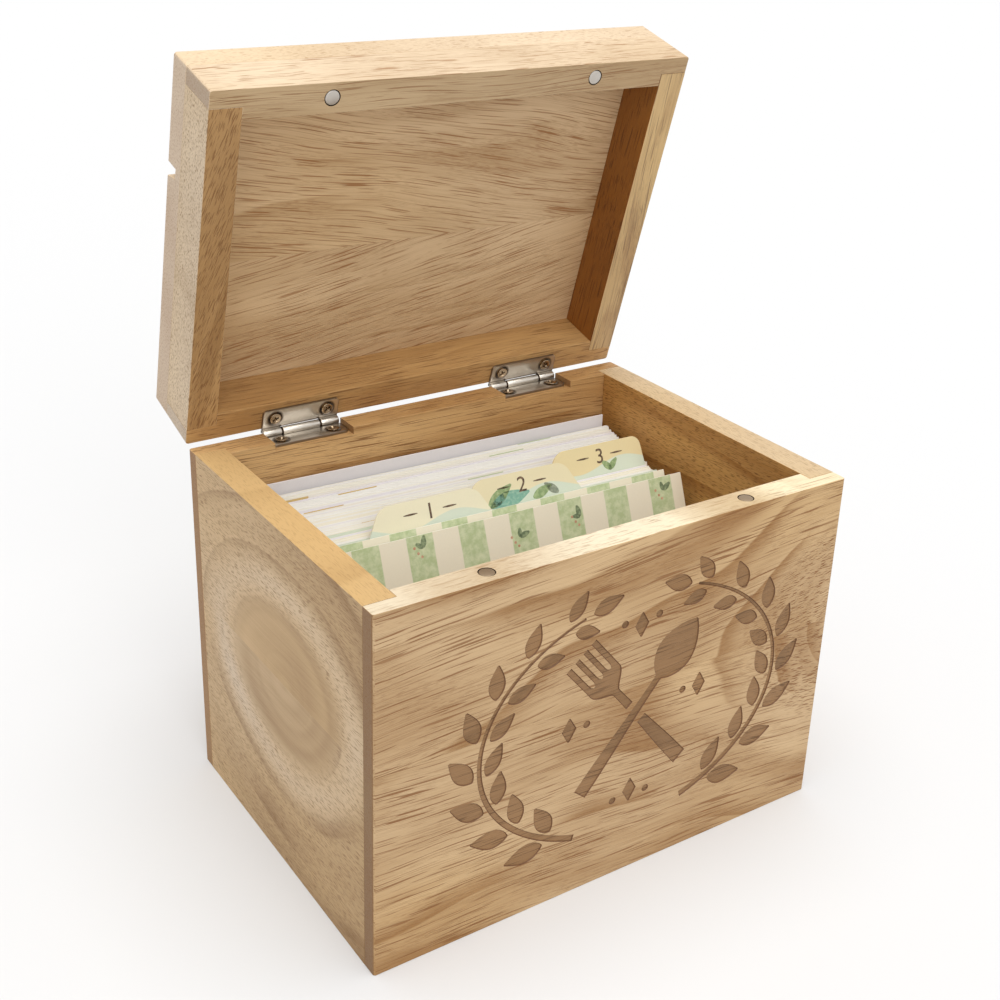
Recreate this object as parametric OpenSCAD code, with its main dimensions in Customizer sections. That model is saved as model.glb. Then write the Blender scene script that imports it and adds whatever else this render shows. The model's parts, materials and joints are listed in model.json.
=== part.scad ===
// A wooden box for recipe cards. Four boards are rebated into a body, a framed lid turns on
// two small butt hinges and is held shut by magnets, and cards stand inside behind tabbed dividers.
// Millimetres. The origin is the middle of the underside, the front faces -Y and +Z is up.

/* [Cards] */
// Width of a card
card_w = 152.4; // [120:0.1:180]
// Height of a card
card_h = 101.6; // [80:0.1:104]
// Height of the striped card at the front
front_card_h = 105; // [80:0.5:107]
// Thickness of a divider or striped card
card_t = 0.6; // [0.4:0.05:0.8]
// Thickness of a bundle of recipe cards
bundle_t = 0.8; // [0.5:0.05:0.85]
// How far the cards lean back from upright, in degrees
card_lean = 22; // [14:1:23]
// How far the cards are turned in the box, in degrees
card_yaw = 2; // [0:0.5:2.5]

/* [Body] */
// Room beside the cards, left and right together
card_room = 9.6; // [8.6:0.1:40]
// Outside depth, front to back
box_d = 132; // [122:1:180]
// Height of the body without its lid
box_h = 129; // [124:1:160]
// Thickness of the front and back boards
end_t = 10.5; // [9.5:0.5:13]
// Thickness of the side boards
side_t = 11; // [8:0.5:11.5]
// End grain of the front and back boards that laps over the side boards
lap_t = 6; // [4:0.5:6.5]
// Radius of the four upright outer corners
corner_r = 1; // [0.4:0.1:3]

/* [Bottom] */
// Thickness of the bottom board
bottom_t = 11; // [9:0.5:14]
// Thickness of the tongue round the bottom board
tongue_t = 5; // [3:0.5:6]
// How far the tongue reaches into the grooves
tongue_d = 3.4; // [2:0.1:3.5]
// Height of the tongue's lower face above the underside
tongue_z = 3; // [2:0.5:3]
// Room for the wood to move round the bottom board
panel_gap = 0.2; // [0.1:0.05:0.4]

/* [Lid] */
// Height of the lid's frame below its top board
frame_h = 18; // [14:0.5:30]
// Thickness of the lid's top board
top_t = 10; // [8:0.5:14]
// Seam between the closed lid and the body
seam_gap = 0.4; // [0.2:0.1:0.8]
// Angle at which the lid stands open
open_deg = 74; // [60:1:100]

/* [Card slot] */
// Distance of the slot from the front edge of the lid
slot_from_front = 37; // [25:1:70]
// Width of the slot at its mouth
slot_mouth_w = 4.9; // [4:0.1:6]
// Width of the slot at its floor
slot_floor_w = 3.4; // [2:0.1:3.8]
// Depth of the slot
slot_depth = 6; // [4:0.5:7]

/* [Hinges] */
// Length of a hinge along the back edge
hinge_l = 30; // [24:1:40]
// Distance of a hinge's middle from the side of the box
hinge_from_side = 43.4; // [30:0.2:50]
// Width of a leaf, measured from the pin's axis
leaf_w = 9.5; // [8.5:0.1:10.5]
// Thickness of a leaf
leaf_t = 1; // [0.8:0.1:1.2]
// Outside radius of the knuckles
knuckle_r = 1.6; // [1.5:0.1:2]
// Length of the middle knuckle
middle_l = 15; // [10:0.5:18]
// End play between neighbouring knuckles
knuckle_gap = 0.25; // [0.2:0.05:0.5]
// Radius of the pin
pin_r = 0.8; // [0.6:0.05:0.9]
// Radial clearance of the pin in the middle knuckle
pin_clearance = 0.05; // [0.02:0.01:0.09]
// How far the pin's axis stands behind the back of the box
axis_behind = 1.4; // [1.2:0.1:2]
// Radius of the leaves' outer corners
leaf_corner_r = 1.6; // [0.5:0.1:2.5]
// Room round a hinge in its recess
recess_gap = 0.5; // [0.3:0.1:1]

/* [Screws] */
// Distance between the two screws of a leaf
screw_pitch = 20.5; // [14:0.5:22]
// Distance of the screws from the pin's axis
screw_row = 5.8; // [5:0.1:6.4]
// Radius of a screw's head
head_r = 2.4; // [2:0.1:2.6]
// Radius of a screw's shank
shank_r = 1.1; // [0.8:0.05:1.3]
// Length of a screw's shank
shank_l = 7; // [5:0.5:9]
// How far a head stands above its leaf
head_proud = 0.3; // [0.1:0.05:0.4]

/* [Magnets] */
// Radius of a magnet
magnet_r = 2.5; // [2:0.1:3.4]
// Thickness of a magnet
magnet_t = 3; // [2:0.5:5]
// Distance of a magnet from the side of the box
magnet_from_side = 41; // [20:1:60]
// Ring of glue between a magnet and its hole
magnet_glue = 0.15; // [0.05:0.05:0.3]

/* [Places of the cards] */
// Gap between the rear card and the back board
wall_gap = 0.4; // [0.3:0.1:1]
// Gap between the rear card and the top of the leaning pack
pack_gap = 2.3; // [2:0.1:4]
// Number of bundles in the main pack
pack_count = 15; // [6:1:15]
// Right-hand divider, forward of the back of the pack
right_divider_at = 26.9; // [25:0.1:29]
// Middle divider, forward of the back of the pack
centre_divider_at = 34.7; // [34:0.1:35.2]
// Left-hand divider, forward of the back of the pack
left_divider_at = 38.5; // [38.2:0.1:39.4]
// Second striped card, forward of the back of the pack
second_card_at = 40.9; // [40.4:0.1:41.6]
// Front striped card, forward of the back of the pack
front_card_at = 47.5; // [46.8:0.1:52]

/* [Divider tabs] */
// Height of a tab above its card
tab_h = 11; // [6:0.5:13]
// Width of a tab along its top
tab_top_w = 38; // [28:1:42]
// Width that each side of a tab gains down to the card
tab_flare = 6; // [2:0.5:8]
// Radius of a tab's upper corners
tab_r = 3.5; // [1:0.5:5]
// Distance from one tab's middle to the next
tab_pitch = 40; // [36:0.5:41]
// Middle of the centre tab, to the right of its card's middle
tab_x = 16; // [10:0.5:20]

/* [Hidden] */

LEFT = -1;
RIGHT = 1;
wood = [0.80, 0.66, 0.48];
wood_dark = [0.70, 0.55, 0.38];
steel = [0.76, 0.76, 0.75];
nickel = [0.62, 0.61, 0.59];
card_white = [0.95, 0.94, 0.90];
card_cream = [0.90, 0.87, 0.66];
card_green = [0.70, 0.76, 0.58];
cut = 1; // how far a cutting solid runs past the face it opens

// Space inside the four walls, and the box round it
inner_w = card_w + card_room;
inner_d = box_d - 2 * end_t;
box_w = inner_w + 2 * side_t;
side_l = box_d - 2 * lap_t;

// The hinge recess takes both leaves and the gap between them
hinge_x = box_w / 2 - hinge_from_side;
recess_d = 2 * knuckle_r - seam_gap;
axis_y = box_d / 2 + axis_behind;
axis_z = box_h - recess_d + knuckle_r;
leaf_notch = knuckle_r + 0.3;

// The closed lid
rim_z = box_h + seam_gap;
top_board_z = rim_z + frame_h;
lid_top_z = top_board_z + top_t;
slot_y = slot_from_front - box_d / 2;

// The magnets sit in the middle of the front rim
magnet_x = box_w / 2 - magnet_from_side;
magnet_y = end_t / 2 - box_d / 2;

// Where the cards stand, in their own turned frame
rear_card_y = box_d / 2 - end_t - wall_gap - card_w / 2 * sin(card_yaw);
pack_top_y = rear_card_y - card_t - pack_gap;
pack_foot_y = pack_top_y - card_h * sin(card_lean);
tab_half = tab_top_w / 2 + tab_flare;

// How many bundles stand in each packet
centre_count = 4;
left_count = 2;
front_count = 3;

// How far each kind of card stands to the right of the middle
rear_shift = 0.5;
pack_shift = -0.8;
divider_shift = -2;
packet_shift = -2.5;
second_shift = -3;
jog = 0.6; // the most that a bundle is pushed sideways

// A block standing on z = 0 whose upright corners are rounded
module rounded_block(w, d, h, r) {
    linear_extrude(h) {
        square([w - 2 * r, d], center = true);
        square([w, d - 2 * r], center = true);
        for (x = [-1, 1], y = [-1, 1])
            translate([x * (w / 2 - r), y * (d / 2 - r)]) circle(r = r, $fn = 32);
    }
}

// Puts a piece drawn with the lid shut where the open lid carries it
module with_lid() {
    translate([0, axis_y, axis_z])
        rotate([-open_deg, 0, 0])
            translate([0, -axis_y, -axis_z]) children();
}

// A front or back board from its outer face at y = 0 inwards, with rebated ends
module lapped_board(h) {
    translate([-box_w / 2, 0, 0]) cube([box_w, lap_t, h]);
    translate([-inner_w / 2, 0, 0]) cube([inner_w, end_t, h]);
}

// Four walls cut from one stock: side is -1 or 1
module front_wall(z, h) {
    intersection() {
        translate([0, -box_d / 2, z]) lapped_board(h);
        translate([0, 0, z]) rounded_block(box_w, box_d, h, corner_r);
    }
}
module back_wall(z, h) {
    mirror([0, 1, 0]) front_wall(z, h);
}
module side_wall(side, z, h) {
    near_x = side > 0 ? inner_w / 2 : -box_w / 2;
    translate([near_x, -side_l / 2, z]) cube([side_t, side_l, h]);
}

// Grooves that take the tongue of the bottom board
module long_grooves() {
    translate([-inner_w / 2, -inner_d / 2 - tongue_d - panel_gap, tongue_z])
        cube([inner_w, inner_d + 2 * (tongue_d + panel_gap), tongue_t]);
}
module side_grooves() {
    translate([-inner_w / 2 - tongue_d - panel_gap, -box_d / 2, tongue_z])
        cube([inner_w + 2 * (tongue_d + panel_gap), box_d, tongue_t]);
}

// Places one hinge's middle on the pin's axis
module at_hinge(side) {
    translate([side * hinge_x, axis_y, axis_z]) children();
}
module at_screws() {
    for (x = [-1, 1])
        translate([x * screw_pitch / 2, -screw_row, 0]) children();
}

// Cylinder along X, centred on the pin's axis
module along_pin(r, l) {
    rotate([0, 90, 0]) cylinder(r = r, h = l, center = true, $fn = 48);
}

// A leaf's outline, with its two outer corners rounded, from the axis to its far edge
module leaf_plate() {
    translate([0, -leaf_w, -knuckle_r]) {
        translate([-hinge_l / 2, leaf_corner_r, 0])
            cube([hinge_l, leaf_w - leaf_corner_r, leaf_t]);
        translate([leaf_corner_r - hinge_l / 2, 0, 0])
            cube([hinge_l - 2 * leaf_corner_r, leaf_w, leaf_t]);
        for (x = [-1, 1])
            translate([x * (hinge_l / 2 - leaf_corner_r), leaf_corner_r, 0])
                cylinder(r = leaf_corner_r, h = leaf_t, $fn = 32);
    }
}

// Room cut out of a leaf for the other leaf's knuckle
module knuckle_room(x, l) {
    translate([x - l / 2, -leaf_notch, -knuckle_r - cut])
        cube([l, leaf_notch + knuckle_r + cut, 2 * (knuckle_r + cut)]);
}

// A countersunk screw, point down, with its head's rim proud of a leaf on z = 0
module screw_body() {
    head_h = leaf_t + head_proud;
    translate([0, 0, -leaf_t]) cylinder(r1 = shank_r, r2 = head_r, h = head_h, $fn = 32);
    translate([0, 0, -leaf_t - shank_l]) cylinder(r = shank_r, h = shank_l, $fn = 32);
    translate([0, 0, -leaf_t - shank_l - shank_r])
        cylinder(r1 = 0.2, r2 = shank_r, h = shank_r, $fn = 32);
}
module screw() {
    cross_l = 1.25 * head_r;
    cross_w = 0.28 * head_r;
    difference() {
        screw_body();
        for (turn = [45, 135])
            translate([0, 0, head_proud + cut / 2]) rotate([0, 0, turn])
                cube([cross_l, cross_w, cut + 1.2], center = true);
    }
}

// A leaf's upper face is where its screws sit
module screws_of_leaf() {
    translate([0, 0, leaf_t - knuckle_r]) at_screws() screw();
}
module screw_holes_of_leaf() {
    translate([0, 0, leaf_t - knuckle_r]) at_screws() screw_body();
}

// The body's leaf carries the middle knuckle, which turns on the pin
module body_leaf() {
    outer_l = (hinge_l - middle_l) / 2 + cut;
    color(steel) difference() {
        union() {
            difference() {
                leaf_plate();
                for (x = [-1, 1])
                    knuckle_room(x * (middle_l + outer_l) / 2, outer_l);
            }
            along_pin(knuckle_r, middle_l);
        }
        along_pin(pin_r + pin_clearance, hinge_l);
        screw_holes_of_leaf();
    }
}

// The lid's leaf carries the two outer knuckles, which grip the pin
module lid_leaf() {
    room_l = middle_l + 2 * knuckle_gap;
    color(steel) mirror([0, 0, 1]) difference() {
        union() {
            leaf_plate();
            along_pin(knuckle_r, hinge_l);
        }
        knuckle_room(0, room_l);
        along_pin(pin_r, hinge_l + cut);
        screw_holes_of_leaf();
    }
}

// A recess that runs from the inside of the back board to its back face
module hinge_recess(side) {
    recess_l = hinge_l + 2 * recess_gap;
    translate([side * hinge_x - recess_l / 2, inner_d / 2 - cut, box_h - recess_d])
        cube([recess_l, end_t + 2 * cut, recess_d + cut]);
}

// A magnet's blind hole, open downwards or upwards
module magnet_hole(side, z) {
    translate([side * magnet_x, magnet_y, z])
        cylinder(r = magnet_r + magnet_glue, h = magnet_t + cut, $fn = 48);
}
module magnet(side, z) {
    color(nickel) translate([side * magnet_x, magnet_y, z])
        cylinder(r = magnet_r, h = magnet_t, $fn = 48);
}

// The body
module front_board() {
    color(wood) difference() {
        front_wall(0, box_h);
        long_grooves();
        for (side = [LEFT, RIGHT]) magnet_hole(side, box_h - magnet_t);
    }
}
module back_board() {
    color(wood) difference() {
        back_wall(0, box_h);
        long_grooves();
        for (side = [LEFT, RIGHT]) {
            hinge_recess(side);
            at_hinge(side) screw_holes_of_leaf();
        }
    }
}
module side_board(side) {
    color(wood_dark) difference() {
        side_wall(side, 0, box_h);
        side_grooves();
    }
}
module bottom_board() {
    tongue_w = inner_w + 2 * tongue_d;
    tongue_l = inner_d + 2 * tongue_d;
    field_w = inner_w - 2 * panel_gap;
    field_l = inner_d - 2 * panel_gap;
    color(wood) {
        translate([-field_w / 2, -field_l / 2, 0]) cube([field_w, field_l, bottom_t]);
        translate([-tongue_w / 2, -tongue_l / 2, tongue_z])
            cube([tongue_w, tongue_l, tongue_t]);
    }
}

// The lid, drawn shut
module lid_front_rail() {
    color(wood) difference() {
        front_wall(rim_z, frame_h);
        for (side = [LEFT, RIGHT]) magnet_hole(side, rim_z - cut);
    }
}
module lid_back_rail() {
    color(wood) difference() {
        back_wall(rim_z, frame_h);
        for (side = [LEFT, RIGHT])
            at_hinge(side) mirror([0, 0, 1]) screw_holes_of_leaf();
    }
}
module lid_side_rail(side) {
    color(wood_dark) side_wall(side, rim_z, frame_h);
}
module lid_top_board() {
    slope = (slot_mouth_w - slot_floor_w) / slot_depth;
    color(wood) difference() {
        translate([0, 0, top_board_z]) rounded_block(box_w, box_d, top_t, corner_r);
        translate([-box_w / 2 - cut, slot_y, lid_top_z])
            rotate([90, 0, 90]) linear_extrude(box_w + 2 * cut)
                polygon([
                    [0, cut], [0, -slot_depth], [slot_floor_w, -slot_depth],
                    [slot_mouth_w + slope * cut, cut]
                ]);
    }
}

// Turns the frame in which all cards stand
module card_frame() {
    translate([0, 0, bottom_t]) rotate([0, 0, -card_yaw]) children();
}

// Stands a leaf of thickness t on its rear lower edge, forward of the back of the pack
module leaning_at(forward, shift, t) {
    card_frame()
        translate([shift, pack_foot_y - forward, 0])
            rotate([-card_lean, 0, 0])
                translate([0, -t, 0]) children();
}

// A plain leaf, upright, from y = 0 back to its thickness
module leaf(w, h, t) {
    translate([-w / 2, 0, 0]) cube([w, t, h]);
}

// A card with a tab, the tab cut off where it would pass the card's side
module tabbed_leaf(middle) {
    top = card_h + tab_h;
    translate([0, card_t, 0]) rotate([90, 0, 0]) linear_extrude(card_t) {
        translate([-card_w / 2, 0]) square([card_w, card_h]);
        intersection() {
            translate([-card_w / 2, card_h / 2]) square([card_w, card_h]);
            hull() {
                translate([middle - tab_half, card_h - 1]) square([2 * tab_half, 1]);
                for (x = [-1, 1])
                    translate([middle + x * (tab_top_w / 2 - tab_r / 2), top - tab_r])
                        circle(r = tab_r, $fn = 24);
            }
        }
    }
}

// Bundles of cards spread evenly between two places, none at either place
module packet(from, to, count, shift) {
    step = (to - from) / (count + 1);
    for (i = [1 : count]) {
        leaning_at(from + i * step, shift + jog * sin(i * 137), bundle_t)
            leaf(card_w, card_h, bundle_t);
    }
}

module rear_card() {
    color(card_white) card_frame()
        translate([rear_shift, rear_card_y - card_t, 0]) leaf(card_w, card_h, card_t);
}
module recipe_cards() {
    pack_step = right_divider_at / pack_count;
    color(card_white) packet(-pack_step, right_divider_at, pack_count, pack_shift);
}
module tab_divider(place, forward) {
    color(card_cream) leaning_at(forward, divider_shift, card_t)
        tabbed_leaf(tab_x + tab_pitch * place);
}
module card_packet(from, to, count) {
    color(card_white) packet(from, to, count, packet_shift);
}
module second_striped_card() {
    color(card_green) leaning_at(second_card_at, second_shift, card_t)
        leaf(card_w, card_h, card_t);
}
module front_striped_card() {
    color(card_green) leaning_at(front_card_at, 0, card_t)
        leaf(card_w, front_card_h, card_t);
}

module hinge_pin() {
    color(steel) along_pin(pin_r, hinge_l);
}
module body_screws() {
    color(nickel) screws_of_leaf();
}
module lid_screws() {
    color(nickel) mirror([0, 0, 1]) screws_of_leaf();
}

front_board();
back_board();
side_board(LEFT);  // left_side_board
side_board(RIGHT);  // right_side_board
bottom_board();
with_lid() lid_front_rail();
with_lid() lid_back_rail();
with_lid() lid_side_rail(LEFT);  // lid_left_rail
with_lid() lid_side_rail(RIGHT);  // lid_right_rail
with_lid() lid_top_board();
at_hinge(LEFT) body_leaf();  // left_hinge_body_leaf
with_lid() at_hinge(LEFT) lid_leaf();  // left_hinge_lid_leaf
with_lid() at_hinge(LEFT) hinge_pin();  // left_hinge_pin
at_hinge(RIGHT) body_leaf();  // right_hinge_body_leaf
with_lid() at_hinge(RIGHT) lid_leaf();  // right_hinge_lid_leaf
with_lid() at_hinge(RIGHT) hinge_pin();  // right_hinge_pin
at_hinge(LEFT) body_screws();  // left_hinge_body_screws
with_lid() at_hinge(LEFT) lid_screws();  // left_hinge_lid_screws
at_hinge(RIGHT) body_screws();  // right_hinge_body_screws
with_lid() at_hinge(RIGHT) lid_screws();  // right_hinge_lid_screws
magnet(LEFT, box_h - magnet_t);  // left_body_magnet
magnet(RIGHT, box_h - magnet_t);  // right_body_magnet
with_lid() magnet(LEFT, rim_z);  // left_lid_magnet
with_lid() magnet(RIGHT, rim_z);  // right_lid_magnet
rear_card();
recipe_cards();
tab_divider(1, right_divider_at);  // right_tab_divider
card_packet(right_divider_at, centre_divider_at, centre_count);  // centre_packet
tab_divider(0, centre_divider_at);  // centre_tab_divider
card_packet(centre_divider_at, left_divider_at, left_count);  // left_packet
tab_divider(-1, left_divider_at);  // left_tab_divider
second_striped_card();
card_packet(second_card_at, front_card_at, front_count);  // front_packet
front_striped_card();
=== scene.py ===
# %% [markdown]
# # A recipe card box in light hardwood
# This lesson dresses a finished construction model. The frame says where every board, hinge leaf
# and card stands, in metres, with the front of the box facing -Y. Each piece is modelled again
# with the eased edges, holes and engraving that a joiner would give it, and then gets its own
# material.

import json
import math
import random

import bmesh
import bpy
from mathutils import Matrix, Vector


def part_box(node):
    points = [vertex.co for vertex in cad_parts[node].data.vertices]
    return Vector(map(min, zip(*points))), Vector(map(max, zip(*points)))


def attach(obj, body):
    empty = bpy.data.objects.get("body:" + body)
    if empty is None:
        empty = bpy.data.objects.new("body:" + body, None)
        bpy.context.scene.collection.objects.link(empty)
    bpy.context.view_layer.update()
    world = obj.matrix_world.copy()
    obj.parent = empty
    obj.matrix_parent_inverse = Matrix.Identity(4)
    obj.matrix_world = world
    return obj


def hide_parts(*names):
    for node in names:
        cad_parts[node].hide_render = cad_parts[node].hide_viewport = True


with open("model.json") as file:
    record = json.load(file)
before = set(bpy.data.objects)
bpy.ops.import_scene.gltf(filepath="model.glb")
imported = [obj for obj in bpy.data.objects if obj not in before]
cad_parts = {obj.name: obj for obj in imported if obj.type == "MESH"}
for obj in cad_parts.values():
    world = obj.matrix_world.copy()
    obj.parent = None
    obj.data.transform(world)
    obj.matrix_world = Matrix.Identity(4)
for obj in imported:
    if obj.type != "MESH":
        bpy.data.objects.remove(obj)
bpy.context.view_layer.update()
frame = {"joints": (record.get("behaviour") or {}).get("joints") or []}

# %% [markdown]
# ## Sizes read from the frame
# Nothing is measured twice: the thickness of a board is the size of its node. The lid's pieces
# are modelled shut, where they are easy to think about, and turned open about the hinge pins
# afterwards.

# %% Read the sizes
MM = 0.001
CLOSE = 0.01 * MM
front_low, front_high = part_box("front_board")
side_low, side_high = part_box("left_side_board")
floor_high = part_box("bottom_board")[1]
BOX_W = front_high.x - front_low.x
BOX_D = -2 * front_low.y
BOX_H = front_high.z
END_T = front_high.y - front_low.y
SIDE_T = side_high.x - side_low.x
LAP_T = BOX_D / 2 - side_high.y
INNER_W = BOX_W - 2 * SIDE_T
INNER_D = BOX_D - 2 * END_T
FLOOR_T = floor_high.z
CORNER_R = 1.0 * MM
SIDES = {"left": -1, "right": 1}
print(f"box {BOX_W / MM:.1f} x {BOX_D / MM:.1f} x {BOX_H / MM:.1f} mm")

# %% Read where the lid turns
SEAM = 0.4 * MM
FRAME_H = 18 * MM
TOP_T = 10 * MM
OPEN = math.radians(74)
RIM_Z = BOX_H + SEAM
TOP_BOARD_Z = RIM_Z + FRAME_H
LID_TOP_Z = TOP_BOARD_Z + TOP_T
lid_joint = next(j for j in frame["joints"] if j["name"] == "lid_hinge")
PIN = Vector(lid_joint["pos_m"])
LID_TURN = (
    Matrix.Translation(PIN) @ Matrix.Rotation(-OPEN, 4, "X") @ Matrix.Translation(-PIN)
)
print(f"the pins lie at y {PIN.y / MM:.1f}, z {PIN.z / MM:.1f} mm")

# %% [markdown]
# ## The camera
# The view is a short telephoto one from the front left, a little above. The camera is built from
# its own three axes, so the small roll that a hand-held picture has is easy to add.

# %% Place the camera
AZIMUTH = math.radians(33.904)
ELEVATION = math.radians(22.927)
ROLL = math.radians(1.850)
CAMERA_PLACE = Vector((-256.96, -367.87, 329.26)) * MM
FOCAL_PIXELS = 1426.5
MIDDLE_PIXEL = (492.5, 434.5)
IMAGE_PIXELS = 1000
UP = Vector((0, 0, 1))


def camera_matrix():
    """The camera's place and axes: X to the right, Y up, and Z back towards the photographer."""
    level = Vector((math.sin(AZIMUTH), math.cos(AZIMUTH), 0))
    ahead = math.cos(ELEVATION) * level - math.sin(ELEVATION) * UP
    level_right = ahead.cross(UP).normalized()
    level_up = level_right.cross(ahead)
    right = math.cos(ROLL) * level_right + math.sin(ROLL) * level_up
    up = -math.sin(ROLL) * level_right + math.cos(ROLL) * level_up
    turn = Matrix((right, up, -ahead)).transposed().to_4x4()
    return Matrix.Translation(CAMERA_PLACE) @ turn


camera_data = bpy.data.cameras.new("camera")
camera = bpy.data.objects.new("camera", camera_data)
bpy.context.scene.collection.objects.link(camera)
camera.matrix_world = camera_matrix()
camera_data.sensor_width = 36
camera_data.lens = FOCAL_PIXELS / IMAGE_PIXELS * camera_data.sensor_width
camera_data.shift_x = 0.5 - MIDDLE_PIXEL[0] / IMAGE_PIXELS
camera_data.shift_y = MIDDLE_PIXEL[1] / IMAGE_PIXELS - 0.5
camera_data.clip_start = 0.01
bpy.context.scene.camera = camera
print(f"lens {camera_data.lens:.1f} mm")

# %% [markdown]
# ## A small bench for nodes
# Materials are trees of nodes, and a pattern is mostly arithmetic. A wire stands for one output
# of a node, and a plus or a times sign on it lays out the Math node that does the sum, so a
# pattern reads like a formula. The bench adds the other kinds of node. Colours are written as
# they look on a screen, from 0 to 255, and turned into the linear light that Blender mixes.


# %% Wires and colours
def colour(red, green, blue):
    """A screen colour, 0 to 255, as linear light."""

    def linear(part):
        share = part / 255
        return share / 12.92 if share <= 0.04045 else ((share + 0.055) / 1.055) ** 2.4

    return (linear(red), linear(green), linear(blue), 1.0)


class Wire:
    """One output of a node, which takes arithmetic with other wires and plain numbers."""

    def __init__(self, bench, socket):
        self.bench = bench
        self.socket = socket

    def __add__(self, other):
        return self.bench.math("ADD", self, other)

    def __sub__(self, other):
        return self.bench.math("SUBTRACT", self, other)

    def __rsub__(self, other):
        return self.bench.math("SUBTRACT", other, self)

    def __mul__(self, other):
        return self.bench.math("MULTIPLY", self, other)

    def __truediv__(self, other):
        return self.bench.math("DIVIDE", self, other)

    def __pow__(self, other):
        return self.bench.math("POWER", self, other)

    __radd__ = __add__
    __rmul__ = __mul__


# %% The bench
class Bench:
    """Lays out the nodes of one tree. An input is a wire or a plain value."""

    def __init__(self, tree):
        self.tree = tree

    def node(self, kind, inputs=(), **settings):
        node = self.tree.nodes.new(kind)
        for name, value in settings.items():
            setattr(node, name, value)
        for name, value in dict(inputs).items():
            if isinstance(value, Wire):
                self.tree.links.new(value.socket, node.inputs[name])
            else:
                node.inputs[name].default_value = value
        return node

    def add(self, kind, inputs=(), output=0, **settings):
        """A node of which one output is wanted."""
        return Wire(self, self.node(kind, inputs, **settings).outputs[output])

    def wires(self, kind, inputs=(), **settings):
        """A node of which every output is wanted, by its name."""
        outputs = self.node(kind, inputs, **settings).outputs
        return {socket.name: Wire(self, socket) for socket in outputs}

    def math(self, operation, *values):
        return self.add("ShaderNodeMath", enumerate(values), operation=operation)

    def larger(self, first, second):
        return self.math("MAXIMUM", first, second)

    def size(self, value):
        """A number without its sign."""
        return self.math("ABSOLUTE", value)

    def vector(self, x, y, z):
        return self.add("ShaderNodeCombineXYZ", {"X": x, "Y": y, "Z": z})

    def split(self, vector):
        return list(self.wires("ShaderNodeSeparateXYZ", {"Vector": vector}).values())

    def length(self, vector):
        return self.add("ShaderNodeVectorMath", {0: vector}, "Value", operation="LENGTH")

    def place(self):
        """Where a point lies in the room, in metres, for pieces at their own origin."""
        return self.add("ShaderNodeTexCoord", output="Object")

    def attribute(self, name, output="Fac"):
        return self.add("ShaderNodeAttribute", output=output, attribute_name=name)

    def noise(self, vector, scales=(1.0, 1.0, 1.0), detail=2.0, roughness=0.5):
        """Cloudy noise about 0.5, with so many lumps a metre along each axis."""
        place = self.add("ShaderNodeVectorMath", {0: vector, 1: scales}, operation="MULTIPLY")
        inputs = {"Vector": place, "Scale": 1.0, "Detail": detail, "Roughness": roughness}
        return self.add("ShaderNodeTexNoise", inputs)

    def even_noise(self, vector, scale, detail=2.0, roughness=0.5):
        return self.noise(vector, (scale, scale, scale), detail, roughness)

    def step(self, value, low, high):
        """0 below low, 1 above high, and a smooth slope between."""
        inputs = {"Value": value, "From Min": low, "From Max": high}
        return self.add("ShaderNodeMapRange", inputs, interpolation_type="SMOOTHSTEP")

    def mix(self, factor, first, second, **settings):
        inputs = {0: factor, 6: first, 7: second}
        return self.add("ShaderNodeMix", inputs, 2, data_type="RGBA", **settings)

    def tinted(self, factor, base, tint):
        """The base multiplied by a tint, as much as the factor says."""
        return self.mix(factor, base, tint, blend_type="MULTIPLY")


# %% Groups and materials
SURFACE = (("Color", "Color"), ("Roughness", "Float"), ("Height", "Float"))


def new_group(name, inputs, outputs=SURFACE):
    """A shader group with sockets from (name, kind, value) and (name, kind)."""
    tree = bpy.data.node_groups.new(name, "ShaderNodeTree")
    for label, kind, value in inputs:
        socket = tree.interface.new_socket(label, in_out="INPUT", socket_type="NodeSocket" + kind)
        socket.default_value = value
    for label, kind in outputs:
        tree.interface.new_socket(label, in_out="OUTPUT", socket_type="NodeSocket" + kind)
    bench = Bench(tree)
    return bench, bench.wires("NodeGroupInput")


def close_group(bench, **values):
    """Feeds the group's outputs."""
    bench.node("NodeGroupOutput", values)
    print("built the group", bench.tree.name)
    return bench.tree


def new_material(name):
    """An empty material with its bench."""
    material = bpy.data.materials.new(name)
    material.use_nodes = True
    material.node_tree.nodes.clear()
    print("new material:", name)
    return material, Bench(material.node_tree)


def finish_material(bench, shader):
    bench.node("ShaderNodeOutputMaterial", {"Surface": shader})


def finish_surface(bench, pattern, bump, distance, **more):
    """A surface with a pattern's colour, roughness and height."""
    relief = {"Height": pattern["Height"], "Strength": bump, "Distance": distance}
    inputs = {
        "Base Color": pattern["Color"],
        "Roughness": pattern["Roughness"],
        "Normal": bench.add("ShaderNodeBump", relief),
        **more,
    }
    finish_material(bench, bench.add("ShaderNodeBsdfPrincipled", inputs))


# %% [markdown]
# ## Where the grain runs
# A board is sawn along the tree, so its vessels run its length while its growth rings show as
# lines, arches or ovals. This group turns a place on the board into two things: a bent coordinate
# that the vessels follow, and the distance from the heart that the rings follow. The boards of
# this box are glued up from two halves, so the pattern changes at a straight seam.


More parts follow.
